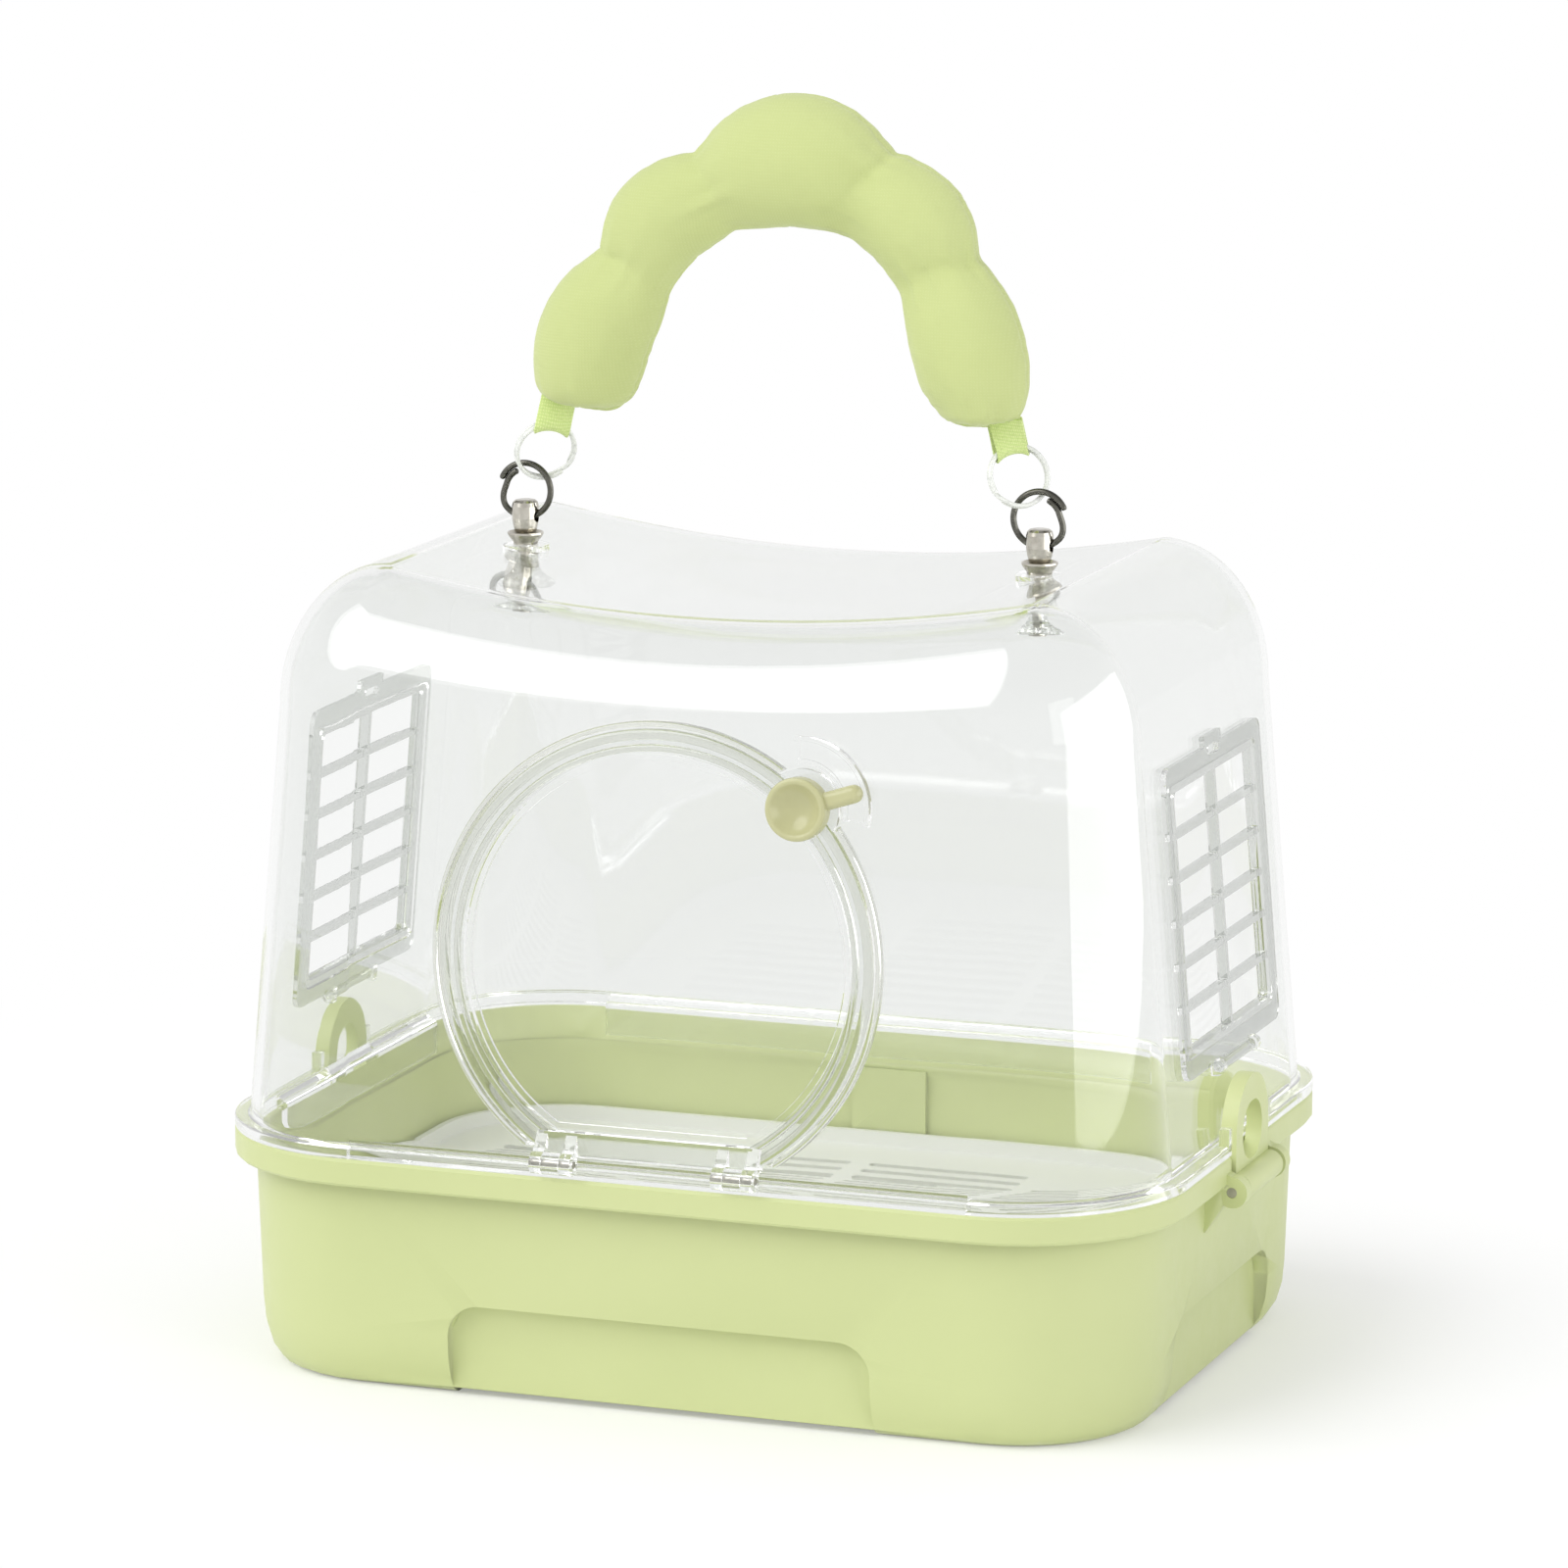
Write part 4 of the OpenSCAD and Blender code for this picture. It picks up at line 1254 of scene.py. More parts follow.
    def ring(self, inset: float, height: Callable[[float], float]) -> list[tuple]:
        """Points of the carrier's plan, drawn in from the rim's edge.

        Args:
            inset: how far it is drawn in, in mm.
            height: gives a point's z from its x.

        Returns:
            The points in metres, anticlockwise from the right side.
        """
        radius = max(self.rim_r - inset, 4.0)
        cx = self.rim_w / 2 - inset - radius
        cy = self.rim_d / 2 - inset - radius
        share = [i / (self.along_steps + 1) for i in range(1, self.along_steps + 1)]
        flat = (
            arc(radius, 0, 90, self.corner_steps, (cx, cy))
            + [(cx - 2 * cx * t, cy + radius) for t in share]
            + arc(radius, 90, 180, self.corner_steps, (-cx, cy))
            + arc(radius, 180, 270, self.corner_steps, (-cx, -cy))
            + [(-cx + 2 * cx * t, -cy - radius) for t in share]
            + arc(radius, 270, 360, self.corner_steps, (cx, -cy))
        )
        return [(x * MM, y * MM, height(x) * MM) for x, y in flat]

    def level(self, inset: float, z: float) -> list[tuple]:
        """A level ring of the plan, drawn in by inset at height z, both in mm."""
        return self.ring(inset, lambda _: z)

    def shoulder(self, rise: float, thick: float) -> list[tuple]:
        """A ring of the curve between the walls and the top.

        Args:
            rise: how far up the curve, in degrees.
            thick: how far it lies inside the outer face, in mm.

        Returns:
            The ring's points in metres.
        """
        up, out = math.sin(math.radians(rise)), math.cos(math.radians(rise))
        inset = self.wall_in(self.shoulder_z) + self.shoulder_in * (1 - out) + thick * out
        return self.ring(
            inset, lambda x: self.shoulder_z + (self.top_z(x) - self.shoulder_z) * up - thick * up
        )

    def shell(self) -> bpy.types.Object:
        """Makes the dome's bare shell with its flange from a stack of rings.

        Returns:
            The closed shell, in metres.
        """
        level = self.level
        rises = np.linspace(0, 90, self.rise_steps + 1)
        near_foot, near_top = self.foot_z + 3, self.shoulder_z - 2
        rings = [
            *(self.shoulder(a, self.wall) for a in rises[::-1]),
            level(self.wall_in(near_top) + self.wall, near_top),
            level(self.wall_in(near_foot) + self.wall, near_foot),
            level(self.foot_in + self.wall, self.foot_z + 1),
            level(self.foot_in + self.wall, self.flange_z),
            level(0.5, self.flange_z),
            level(0.15, self.flange_z + 0.15),
            level(0.0, self.flange_z + 0.5),
            level(0.0, self.foot_z - 0.6),
            level(0.18, self.foot_z - 0.18),
            level(0.6, self.foot_z),
            level(self.foot_in - 0.7, self.foot_z),
            level(self.foot_in - 0.2, self.foot_z + 0.25),
            level(self.foot_in + 0.06, self.foot_z + 0.8),
            level(self.wall_in(near_foot), near_foot),
            level(self.wall_in(near_top), near_top),
            *(self.shoulder(a, 0.0) for a in rises),
        ]
        count = len(rings[0])
        faces = []
        for low in range(0, (len(rings) - 1) * count, count):
            high = low + count
            for i in range(count):
                j = (i + 1) % count
                faces.append((low + i, high + i, high + j, low + j))
        for start, flip in ((0, False), ((len(rings) - 1) * count, True)):
            for i in range(count // 2 - 1):
                face = (start + i, start + i + 1, start + count - 2 - i, start + count - 1 - i)
                faces.append(face[::-1] if flip else face)
        work = bmesh.new()
        places = [work.verts.new(p) for ring in rings for p in ring]
        for face in faces:
            work.faces.new([places[i] for i in face])
        return released(work, "dome_shell")

    def on_front(self) -> Matrix:
        """Place on the front wall: its z points out of the wall, its y up it."""
        y = -(self.rim_d / 2 - self.wall_in(self.door_z))
        return Matrix.Translation((0, y, self.door_z)) @ Matrix.Rotation(
            math.radians(90 - self.lean), 4, "X"
        )

    def on_side(self, side: Side) -> Matrix:
        """Place on a side wall: its z points out of the wall, its y up it."""
        x = self.rim_w / 2 - self.wall_in(self.vent_z)
        return (
            Matrix.Translation((side.value * x, 0, self.vent_z))
            @ Matrix.Rotation(side.value * math.pi / 2, 4, "Z")
            @ Matrix.Rotation(math.radians(90 - self.lean), 4, "X")
        )

    def on_post(self, side: Side) -> Matrix:
        """Place on the dome's top under a swivel, its z upward."""
        return Matrix.Translation((side.value * self.post_x, 0, self.top_z(self.post_x)))

    def along_hinge(self, x: float) -> Matrix:
        """Place on the door's hinge axis: its z runs along the axis, its x points forward."""
        return (
            Matrix.Translation((x, self.hinge_y, self.hinge_z))
            @ Matrix.Rotation(-math.pi / 2, 4, "Z")
            @ Matrix.Rotation(math.pi / 2, 4, "X")
        )

    def front_details(self) -> list[bpy.types.Object]:
        """Makes the collar round the door's opening, the lever's guide and the hinge lugs.

        Returns:
            The closed shapes, in metres.
        """
        front = self.on_front()
        low = -self.wall / 2
        outer = self.collar_in + self.collar_t
        foot = self.door_foot + self.collar_foot
        half = self.collar_t / 2
        section = [(outer, low)]
        for turn in np.linspace(0, math.pi, 9):
            section.append(
                (outer - half + half * math.cos(turn), self.bead - half + half * math.sin(turn))
            )
        section.append((self.collar_in, low))
        rows = []
        for r, z in section:
            end = math.degrees(math.asin(foot / r))
            rows.append(raised(arc(r, end, 180 - end, 150), z))
        collar = skin(rows, front, looped=True, closed=False)
        room = disc(self.knob_pad_r + self.knob_pad_gap, self.knob_at)
        carved(collar, prism(room, front, -5, 6), Carve.CUT)
        r_in, r_out, a0, a1 = self.guide
        floor = band(r_in, r_out, a0 + 2, a1 - 2, self.knob_at)
        guide = prism(floor, front, low, self.bead - self.guide_deep)
        for inner, far in ((r_in, r_in + self.guide_lip), (r_out - self.guide_lip, r_out)):
            edge = prism(band(inner, far, a0, a1, self.knob_at), front, low - 0.05, self.bead)
            carved(guide, edge, Carve.ADD)
        parts = [carved(collar, guide, Carve.ADD)]
        for side in Side:
            place = self.along_hinge(side.value * self.hinge_x)
            half = self.lug_w / 2
            lug = prism(disc(self.knuckle_r, steps=48), place, -half, half)
            reach, back, ahead = self.lug_root
            root = [(0.0, ahead), (-reach, back), (-reach, -self.knuckle_r), (0.0, -self.knuckle_r)]
            parts.append(carved(lug, prism(root, place, -half, half), Carve.ADD))
        return parts

    def other_details(self) -> list[bpy.types.Object]:
        """Makes the vents' hinge ears, the posts' bosses, the latch guides and the side ribs.

        Returns:
            The closed shapes, in metres.
        """
        parts = []
        ear_x, ear_w = self.vent_ear
        ear_y, ear_z = self.vent_axis
        for side in Side:
            for k in (-1, 1):
                place = (
                    self.on_side(side)
                    @ Matrix.Translation((k * ear_x, ear_y, 0))
                    @ Matrix.Rotation(math.pi / 2, 4, "Y")
                )
                r = self.ear_r
                profile = [(1.0, -r), *arc(r, 270, 90, 20, (-ear_z, 0)), (1.0, r)]
                ear = prism(profile, place, -ear_w / 2, ear_w / 2)
                bore = prism(disc(self.pin_bore, (-ear_z, 0), 24), place, -ear_w, ear_w)
                parts.append(carved(ear, bore, Carve.CUT))
                out, beside, up = self.latch_guide_at
                x, y = side.value * (self.lip_x + out), k * (self.notch_w / 2 + beside)
                parts.append(block((x, y, self.foot_z + up), self.latch_guide))
            below, above = self.boss_rise
            boss = disc(self.boss_r)
            parts.append(prism(boss, self.on_post(side), -self.wall - below, above))
        top = self.foot_z - 2
        profile = [
            (-self.rib_from, self.rib_z),
            (-self.rib_from, self.flange_z),
            (-self.foot_in - 0.6, self.flange_z),
            (-self.foot_in - 0.6, top + 4),
            (-self.rib_to, top),
            (-self.rib_to, self.rib_z),
        ]
        for quarter in range(4):
            reach, length = (
                (self.rim_w, self.rim_d) if quarter % 2 == 0 else (self.rim_d, self.rim_w)
            )
            place = (
                Matrix.Rotation(quarter * math.pi / 2, 4, "Z")
                @ Matrix.Translation((reach / 2, 0, 0))
                @ Matrix.Rotation(math.pi / 2, 4, "X")
            )
            half = length / 2 - self.rim_r - 1
            parts.append(prism(profile, place, -half, half))
        return parts

    def cutters(self) -> list[bpy.types.Object]:
        """Makes the shapes of the door's opening, the vents' holes, the notches and the bores.

        Returns:
            The closed shapes, in metres.
        """
        front = self.on_front()
        foot = self.door_foot + self.open_foot
        end = math.degrees(math.asin(foot / self.open_r))
        opening = prism(arc(self.open_r, end, 180 - end, 150), front, -20, 0.2)
        hole = prism(disc(self.knob_room_r, self.knob_at, 48), front, -19.5, 0.2)
        shapes = [carved(opening, hole, Carve.ADD)]
        w, h = self.vent_hole
        r = self.vent_corner
        for side in Side:
            corners = [
                point
                for n, (sx, sy) in enumerate(((1, 1), (-1, 1), (-1, -1), (1, -1)))
                for point in arc(r, 90 * n, 90 * n + 90, 8, (sx * (w / 2 - r), sy * (h / 2 - r)))
            ]
            shapes.append(prism(corners, self.on_side(side), -8, 4))
            bore = disc(self.spindle_bore, steps=32)
            shapes.append(prism(bore, self.on_post(side), -10, 10))
            shapes.append(
                block((side.value * (self.lip_x + 10), 0, self.foot_z), (20, self.notch_w, 20))
            )
            hinge = self.along_hinge(side.value * self.hinge_x)
            reach = self.lug_w / 2 + 0.5
            shapes.append(prism(disc(self.pin_bore, steps=32), hinge, -reach, reach))
            room = self.knuckle_half + self.knuckle_gap
            for k in (-1, 1):
                beside = self.along_hinge(side.value * self.hinge_x + k * self.knuckle_step)
                shapes.append(prism(disc(self.knuckle_r + 0.3, steps=48), beside, -room, room))
        return shapes

    def dome(self, material: bpy.types.Material, rim: bpy.types.Material) -> None:
        """Makes the dome as one smooth moulding with all its openings.

        Args:
            material: the clear plastic.
            rim: the same plastic as it looks in the thick rim round the door.
        """
        details = joined("dome_details", self.front_details() + self.other_details())
        dome = carved(self.shell(), details, Carve.ADD)
        for cutter in self.cutters():
            carved(dome, cutter, Carve.CUT)
        nodes = [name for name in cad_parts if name.split("_")[0] == "dome"]
        finished(dome, "dome_moulding", nodes, "cover", Slot.CLEAR, material, rim)
        self.rim_faces(dome, self.collar_in - 0.1, 0.2)
        shaded(dome, 24)

    def rim_faces(self, piece: bpy.types.Object, least_r: float, least_z: float) -> None:
        """Gives the faces of the ridges round the door the thick rim's material.

        Args:
            piece: the dome or the door.
            least_r: the ridges' least distance from the door's middle, in mm.
            least_z: their least height above the wall's face, in mm.
        """
        back = self.on_front().inverted()
        for face in piece.data.polygons:
            x, y, z = back @ (face.center / MM)
            away = math.hypot(x, y)
            ridge = least_r < away < self.collar_in + self.collar_t + 0.1
            face.material_index = int(ridge and least_z < z < self.bead + 0.1)

    def door_line(self, inset: float, base_r: float, foot: float) -> list[tuple[float, float]]:
        """Outline of the door, a circle cut straight at its foot.

        Args:
            inset: how far the outline is drawn in, in mm.
            base_r: the circle's radius.
            foot: the height of the straight part.

        Returns:
            The outline's points in mm.
        """
        radius = base_r - inset
        end = math.degrees(math.asin((foot + inset) / radius))
        return arc(radius, end, 180 - end, 150)

    def door_ridge(self, radius: float, foot: float, width: float) -> bpy.types.Object:
        """Makes a half-round ridge on the door's plate, along its outline.

        Args:
            radius: the ridge's outer radius in mm.
            foot: the height of its straight part.
            width: its width.

        Returns:
            The closed ridge.
        """
        top, sunk = self.plate[1], 0.4
        rows = [raised(self.door_line(0, radius, foot), top - sunk)]
        for turn in np.linspace(0, math.pi, 11):
            rows.append(
                raised(
                    self.door_line(width / 2 * (1 - math.cos(turn)), radius, foot),
                    top + (self.bead - top) * math.sin(turn),
                )
            )
        rows.append(raised(self.door_line(width, radius, foot), top - sunk))
        return skin(rows, self.on_front(), looped=True)

    def door(self, material: bpy.types.Material, rim: bpy.types.Material) -> None:
        """Makes the round door with its ridges, its hinge forks and its bores.

        Args:
            material: the clear plastic.
            rim: the same plastic as it looks in the thick rim.
        """
        front = self.on_front()
        low, top = self.plate
        foot, lug = self.door_foot, self.knob_at
        door = prism(self.door_line(0, self.door_r, foot), front, low, top)
        carved(door, prism(disc(self.knob_pad_r, lug), front, low, top), Carve.ADD)
        for inset, width in self.ridges:
            ridge = self.door_ridge(self.door_r - inset, foot + inset, width)
            carved(door, ridge, Carve.ADD)
        lip_foot = foot + self.open_foot
        near, far = self.lip
        lip = prism(self.door_line(near, self.open_r, lip_foot), front, -1, low + 0.2)
        inside = prism(self.door_line(far, self.open_r, lip_foot), front, -2, low + 1)
        carved(lip, inside, Carve.CUT)
        room = disc(self.knob_room_r + 0.5, lug, 48)
        carved(lip, prism(room, front, -2, low + 1), Carve.CUT)
        carved(door, lip, Carve.ADD)
        (wide, thick, tall), (out, up) = self.fork_bar, self.fork_bar_at
        bar_at = (0, self.hinge_y + out, self.hinge_z + up)
        bar = block(bar_at, (2 * self.hinge_x + wide, thick, tall))
        carved(door, bar, Carve.ADD)
        half = self.knuckle_half
        for side in Side:
            for k in (-1, 1):
                place = self.along_hinge(side.value * self.hinge_x + k * self.knuckle_step)
                knuckle = prism(disc(self.knuckle_r, steps=48), place, -half, half)
                carved(knuckle, prism(self.fork_arm, place, -half, half), Carve.ADD)
                carved(door, knuckle, Carve.ADD)
        carved(door, prism(disc(self.shaft_bore, lug, 48), front, -5, 7), Carve.CUT)
        for side in Side:
            place = self.along_hinge(side.value * self.hinge_x)
            carved(door, prism(disc(self.pin_bore, steps=32), place, -7, 7), Carve.CUT)
        finished(door, "door_moulding", ["door_panel"], "door", Slot.CLEAR, material, rim)
        self.rim_faces(door, self.door_r - self.ridge_band, top + 0.02)
        shaded(door, 30)

    def knob_piece(self, material: bpy.types.Material) -> None:
        """Makes the knob: a round cap with a hollow for the thumb, its lever and its shaft.

        Args:
            material: the knob's plastic.
        """
        place = self.on_front() @ Matrix.Translation((*self.knob_at, self.knob_z))
        wide, deep = self.knob_hollow
        sphere = (wide**2 + deep**2) / (2 * deep)
        hollow = [
            (sphere * math.sin(a), self.knob_floor + sphere * (1 - math.cos(a)))
            for a in np.linspace(math.asin(wide / sphere), 0.03, 12)
        ]
        turned = [*self.knob_side, *hollow]
        cap = skin([raised(disc(r, steps=96), z) for r, z in turned], place, looped=False)
        root, tip = self.lever_run
        lever = []
        for inset, z in self.lever_side:
            r = self.lever_half - inset
            lever.append(raised(arc(r, -90, 90, 16, (tip, 0)) + arc(r, 90, 270, 16, (root, 0)), z))
        leant = place @ Matrix.Rotation(math.radians(self.lever_turn), 4, "Z")
        arm = skin(lever, leant, looped=False)
        # The cap's hollow is cut from the lever too, so that it doesn't cross the hollow
        bowl = prism(disc(wide + 0.2, steps=64), place, 1.2, 8)
        carved(arm, bowl, Carve.CUT)
        carved(cap, arm, Carve.ADD)
        carved(cap, prism(disc(self.shaft_r, steps=48), place, -3, 0.4), Carve.ADD)
        carved(cap, prism(disc(self.screw_bore, steps=24), place, -5, 0.9), Carve.CUT)
        finished(cap, "knob_moulding", ["door_knob"], "knob", Slot.KNOB, material)
        shaded(cap, 35)


@dataclass
class SwivelLinks:
    """The nickel swivels on the posts, their dark open rings and the coated split rings."""

    post_x: float = 80.0
    ring_z: float = 249.332
    ring_r: float = 8.03
    ring_half: float = 0.93
    overlap_from: float = 22.0
    overlap_turn: float = 46.0
    overlap_step: float = 1.9
    end_taper: float = 0.62
    end_run: float = 9.0
    split_x: float = 73.5
    split_z: float = 261.532
    split_r: float = 8.8
    split_half: float = 0.66
    split_turn: float = 42.0
    split_gap_at: float = 200.0
    # Where the coil starts and ends, and where its step lies and how long it is, in degrees
    split_ends: tuple[float, float] = (9.0, 711.0)
    split_step: tuple[float, float] = (342.0, 36.0)

    def build(self, materials: dict[Slot, bpy.types.Material]) -> None:
        """Dresses the swivels and makes the rings.

        Args:
            materials: each slot's material.
        """
        for slot, kinds in (
            (Slot.NICKEL, ("swivel_collar", "swivel_head")), (Slot.PIN, ("swivel_screw",))
        ):
            names = tuple(f"{k}_{side.word}" for k in kinds for side in Side)
            dress(names, slot, materials[slot])
        wire = sweep_tree("wire_sweep", Twist.LEAST)
        for side in Side:
            self.open_ring(side, wire, materials[Slot.DARK_NICKEL])
            self.split_ring(side, wire, materials[Slot.WIRE])

    def link_turn(self) -> float:
        """Angle in radians from the upright to the line from swivel ring to split ring."""
        return math.atan2(self.post_x - self.split_x, self.split_z - self.ring_z)

    def split_frame(self, side: Side) -> Matrix:
        """Place of a split ring: its local z is the ring's axis, its y points at the handle.

        Args:
            side: the ring's side.

        Returns:
            The matrix from the ring's own frame, in metres, to the carrier's.
        """
        matrix = (
            Matrix.Translation((self.split_x * MM, 0, self.split_z * MM))
            @ Matrix.Rotation(-self.link_turn(), 4, "Y")
            @ Matrix.Rotation(math.radians(self.split_turn), 4, "Z")
            @ Matrix.Rotation(math.radians(90), 4, "X")
        )
        # The two links are the same piece, turned half round for the other side
        return Matrix.Diagonal((side.value, side.value, 1, 1)) @ matrix

    def open_ring(self, side: Side, tree: bpy.types.NodeTree, material: bpy.types.Material) -> None:
        """Makes a swivel ring, bent from one wire whose ends lie over each other at the top.

        Args:
            side: the ring's side.
            tree: the sweep tree.
            material: the ring's finish.
        """
        span = 360 + self.overlap_turn
        angle = np.linspace(0, span, 150)
        slip = np.clip((angle - (span - 2.4 * self.overlap_turn)) / (1.3 * self.overlap_turn), 0, 1)
        radius = self.ring_r - self.overlap_step * slip * slip * (3 - 2 * slip)
        a = np.radians(angle + self.overlap_from)
        line = np.stack(
            [
                side.value * (self.post_x + radius * np.cos(a)),
                np.zeros(len(a)),
                self.ring_z + radius * np.sin(a),
            ],
            1,
        )
        from_end = np.minimum(angle, span - angle)
        half = self.ring_half * np.clip(self.end_taper + from_end / self.end_run, 0, 1)
        ring = grown(
            f"swivel_ring_wire_{side.word}",
            tree,
            line * MM,
            half * MM,
            {"Sides": 14, "Depth": 1.0, "Material": material},
        )
        what = "bent wire ring with lapped ends"
        placed(ring, Slot.DARK_NICKEL, f"ring_{side.word}", what, f"swivel_ring_{side.word}")

    def split_ring(
        self, side: Side, tree: bpy.types.NodeTree, material: bpy.types.Material
    ) -> None:
        """Makes a split ring: two turns of coated wire side by side, with a step between them.

        Args:
            side: the ring's side.
            tree: the sweep tree.
            material: the ring's finish.
        """
        start, end = self.split_ends
        angle = np.linspace(start, end, 200)
        step = np.clip((angle - self.split_step[0]) / self.split_step[1], 0, 1)
        across = self.split_half * (2 * step * step * (3 - 2 * step) - 1) * 1.02
        a = np.radians(angle + self.split_gap_at)
        local = np.stack([self.split_r * np.cos(a), self.split_r * np.sin(a), across], 1) * MM
        matrix = self.split_frame(side)
        line = np.array([matrix @ Vector(p) for p in local])
        from_end = np.minimum(angle - start, end - angle)
        half = self.split_half * np.clip(0.7 + from_end / 10, 0, 1) * MM
        ring = grown(
            f"split_ring_coil_{side.word}",
            tree,
            line,
            half,
            {"Sides": 12, "Depth": 1.0, "Material": material},
        )
        placed(ring, Slot.WIRE, "handle", "two turns of coated wire", f"split_ring_{side.word}")


# The soft pieces


@dataclass
class CarryHandle:
    """The stuffed handle of five lobes, and the tapes that join it to the split rings."""

    links: SwivelLinks
    swing_z: float = 241.782
    # x as a share of the posts' x, height above the swing axis, half thickness, direction
    stations: tuple[tuple[float, float, float, float], ...] = (
        (-0.765, 38.4, 16.6, 84),
        (-0.73, 52.2, 18.8, 74),
        (-0.55, 75.4, 12.6, 60),
        (-0.46, 89.2, 16.6, 45),
        (-0.231, 99.0, 13.8, 26),
        (0.065, 108.4, 21.2, 0),
        (0.345, 99.8, 14.6, -27),
        (0.525, 91.2, 17.2, -45),
        (0.615, 77.6, 13.4, -64),
        (0.73, 54.6, 18.4, -76),
        (0.78, 38.6, 14.0, -86),
    )
    depth: float = 0.82
    steps: int = 10
    start_size: float = 0.93
    end_round: float = 4.6
    voxel: float = 3.2
    most_swell: float = 4.5
    fill: float = 0.85
    # How firmly the cloth is held where two lobes meet, and over what half width
    hold: tuple[float, float] = (0.75, 3.2)
    # Depth and half width of the outline seam and of the creases between the lobes
    seam: tuple[float, float] = (0.75, 1.1)
    crease: tuple[float, float] = (0.9, 2.0)
    crease_bow: float = 1.6
    # Depth of the gathers along the seam, their spacing, and how far from it they reach
    gathers: tuple[float, float, float] = (0.24, 2.6, 5.5)
    # Depth of the puckers beside a crease and at an end, and their spacing in degrees
    pucker: tuple[float, float] = (0.55, 12.0)
    end_pucker: tuple[float, float] = (0.4, 16.0)
    pucker_half: float = 9.0
    # Depth and spacing of the cloth's slack
    slack: tuple[float, float] = (0.22, 16.0)
    tape_w: float = 11.0
    tape_t: float = 0.75
    tape_lean: float = 17.0
    tape_in: float = 4.6
    tape_loop: float = 1.95
    tape_narrow: float = 0.6
    tape_foot: float = 0.12
    tape_edge: float = 0.22
    tape_top: float = 36.5
    welt_half: float = 0.75
    welt_reach: float = 72.0
    stitch_y: float = 1.9
    stitch_reach: float = 60.0
    stitch: tuple[float, float, float] = (2.3, 1.5, 0.34)
    stitch_seed: int = 7

    def build(self, materials: dict[Slot, bpy.types.Material]) -> None:
        """Makes the pad, its seams and its tapes.

        Args:
            materials: each slot's material.
        """
        pad = self.pad(materials[Slot.PAD])
        cover = BVHTree.FromPolygons(
            [v.co.copy() for v in pad.data.vertices], [tuple(p.vertices) for p in pad.data.polygons]
        )
        wire = sweep_tree("welt_sweep", Twist.LEAST)
        rows = stitch_tree()
        for side in Side:
            self.end_welt(side, cover, wire, materials[Slot.PAD])
            self.end_stitches(side, cover, rows, materials[Slot.WEBBING])
            self.tape(side, materials[Slot.WEBBING])

    def middle_line(self) -> tuple[np.ndarray, np.ndarray, np.ndarray]:
        """Follows the pad's middle from its left end to its right one.

        Returns:
            The points in mm, the half thickness at each, and the direction in degrees.
        """
        points, halves, ways = [], [], []
        for i in range(len(self.stations) - 1):
            p, q = self.stations[i], self.stations[i + 1]
            start = np.array([p[0] * self.links.post_x, self.swing_z + p[1]])
            end = np.array([q[0] * self.links.post_x, self.swing_z + q[1]])
            chord = np.linalg.norm(end - start)
            out, into = (
                chord * np.array([math.cos(math.radians(s[3])), math.sin(math.radians(s[3]))])
                for s in (p, q)
            )
            last = i == len(self.stations) - 2
            for t in np.linspace(0, 1, self.steps + 1)[: None if last else -1]:
                points.append(
                    (2 * t**3 - 3 * t**2 + 1) * start + (t**3 - 2 * t**2 + t) * out + (
                        3 * t**2 - 2 * t**3
                    ) * end + (t**3 - t**2) * into
                )
                u = t if q[2] > p[2] else 1 - t
                low, high = sorted((p[2], q[2]))
                halves.append(low + (high - low) * (1 - (1 - u) ** 2.3))
                ways.append(p[3] + (q[3] - p[3]) * t)
        return np.array(points), np.array(halves), np.array(ways)

    def pad(self, material: bpy.types.Material) -> bpy.types.Object:
        """Makes the stuffed pad: a lobed form that is inflated as cloth, then sewn.

        Args:
            material: the pad's cloth.

        Returns:
            The finished pad.
        """
        points, halves, ways = self.middle_line()
        first, last = (
            np.array([math.cos(math.radians(w)), math.sin(math.radians(w))])
            for w in (ways[0], ways[-1])
        )
        caps = [(1.0, 0.05), (0.93, 0.55), (0.72, 0.83), (0.36, 0.97)]
        before = [points[0] - first * self.end_round * out for out, _ in caps]
        after = [points[-1] + last * self.end_round * out for out, _ in reversed(caps)]
        line = np.vstack([before, points, after])
        half = np.concatenate(
            [
                [halves[0] * share for _, share in caps],
                halves,
                [halves[-1] * share for _, share in reversed(caps)],
            ]
        )
        loft = sweep_tree("pad_loft", Twist.UPRIGHT)
        pad = grown(
            "handle_pad_cover",
            loft,
            np.stack([line[:, 0], np.zeros(len(line)), line[:, 1]], 1) * MM,
            half * self.start_size * MM,
            {"Sides": 40, "Depth": self.depth, "Material": material},
        )
        remesh = pad.modifiers.new("voxels", "REMESH")
        remesh.mode = "VOXEL"
        remesh.voxel_size = self.voxel * MM
        remesh.use_smooth_shade = True
        settle(pad)
        self.inflate(pad, points)
        rounder = pad.modifiers.new("rounder", "SUBSURF")
        rounder.levels = rounder.render_levels = 2
        settle(pad)
        self.sew(pad, points, halves)
        pad.data.materials.clear()
        pad.data.materials.append(material)
        what = f"stuffed pad, {len(pad.data.polygons)} faces"
        placed(pad, Slot.PAD, "handle", what, "handle_pad")
        return pad

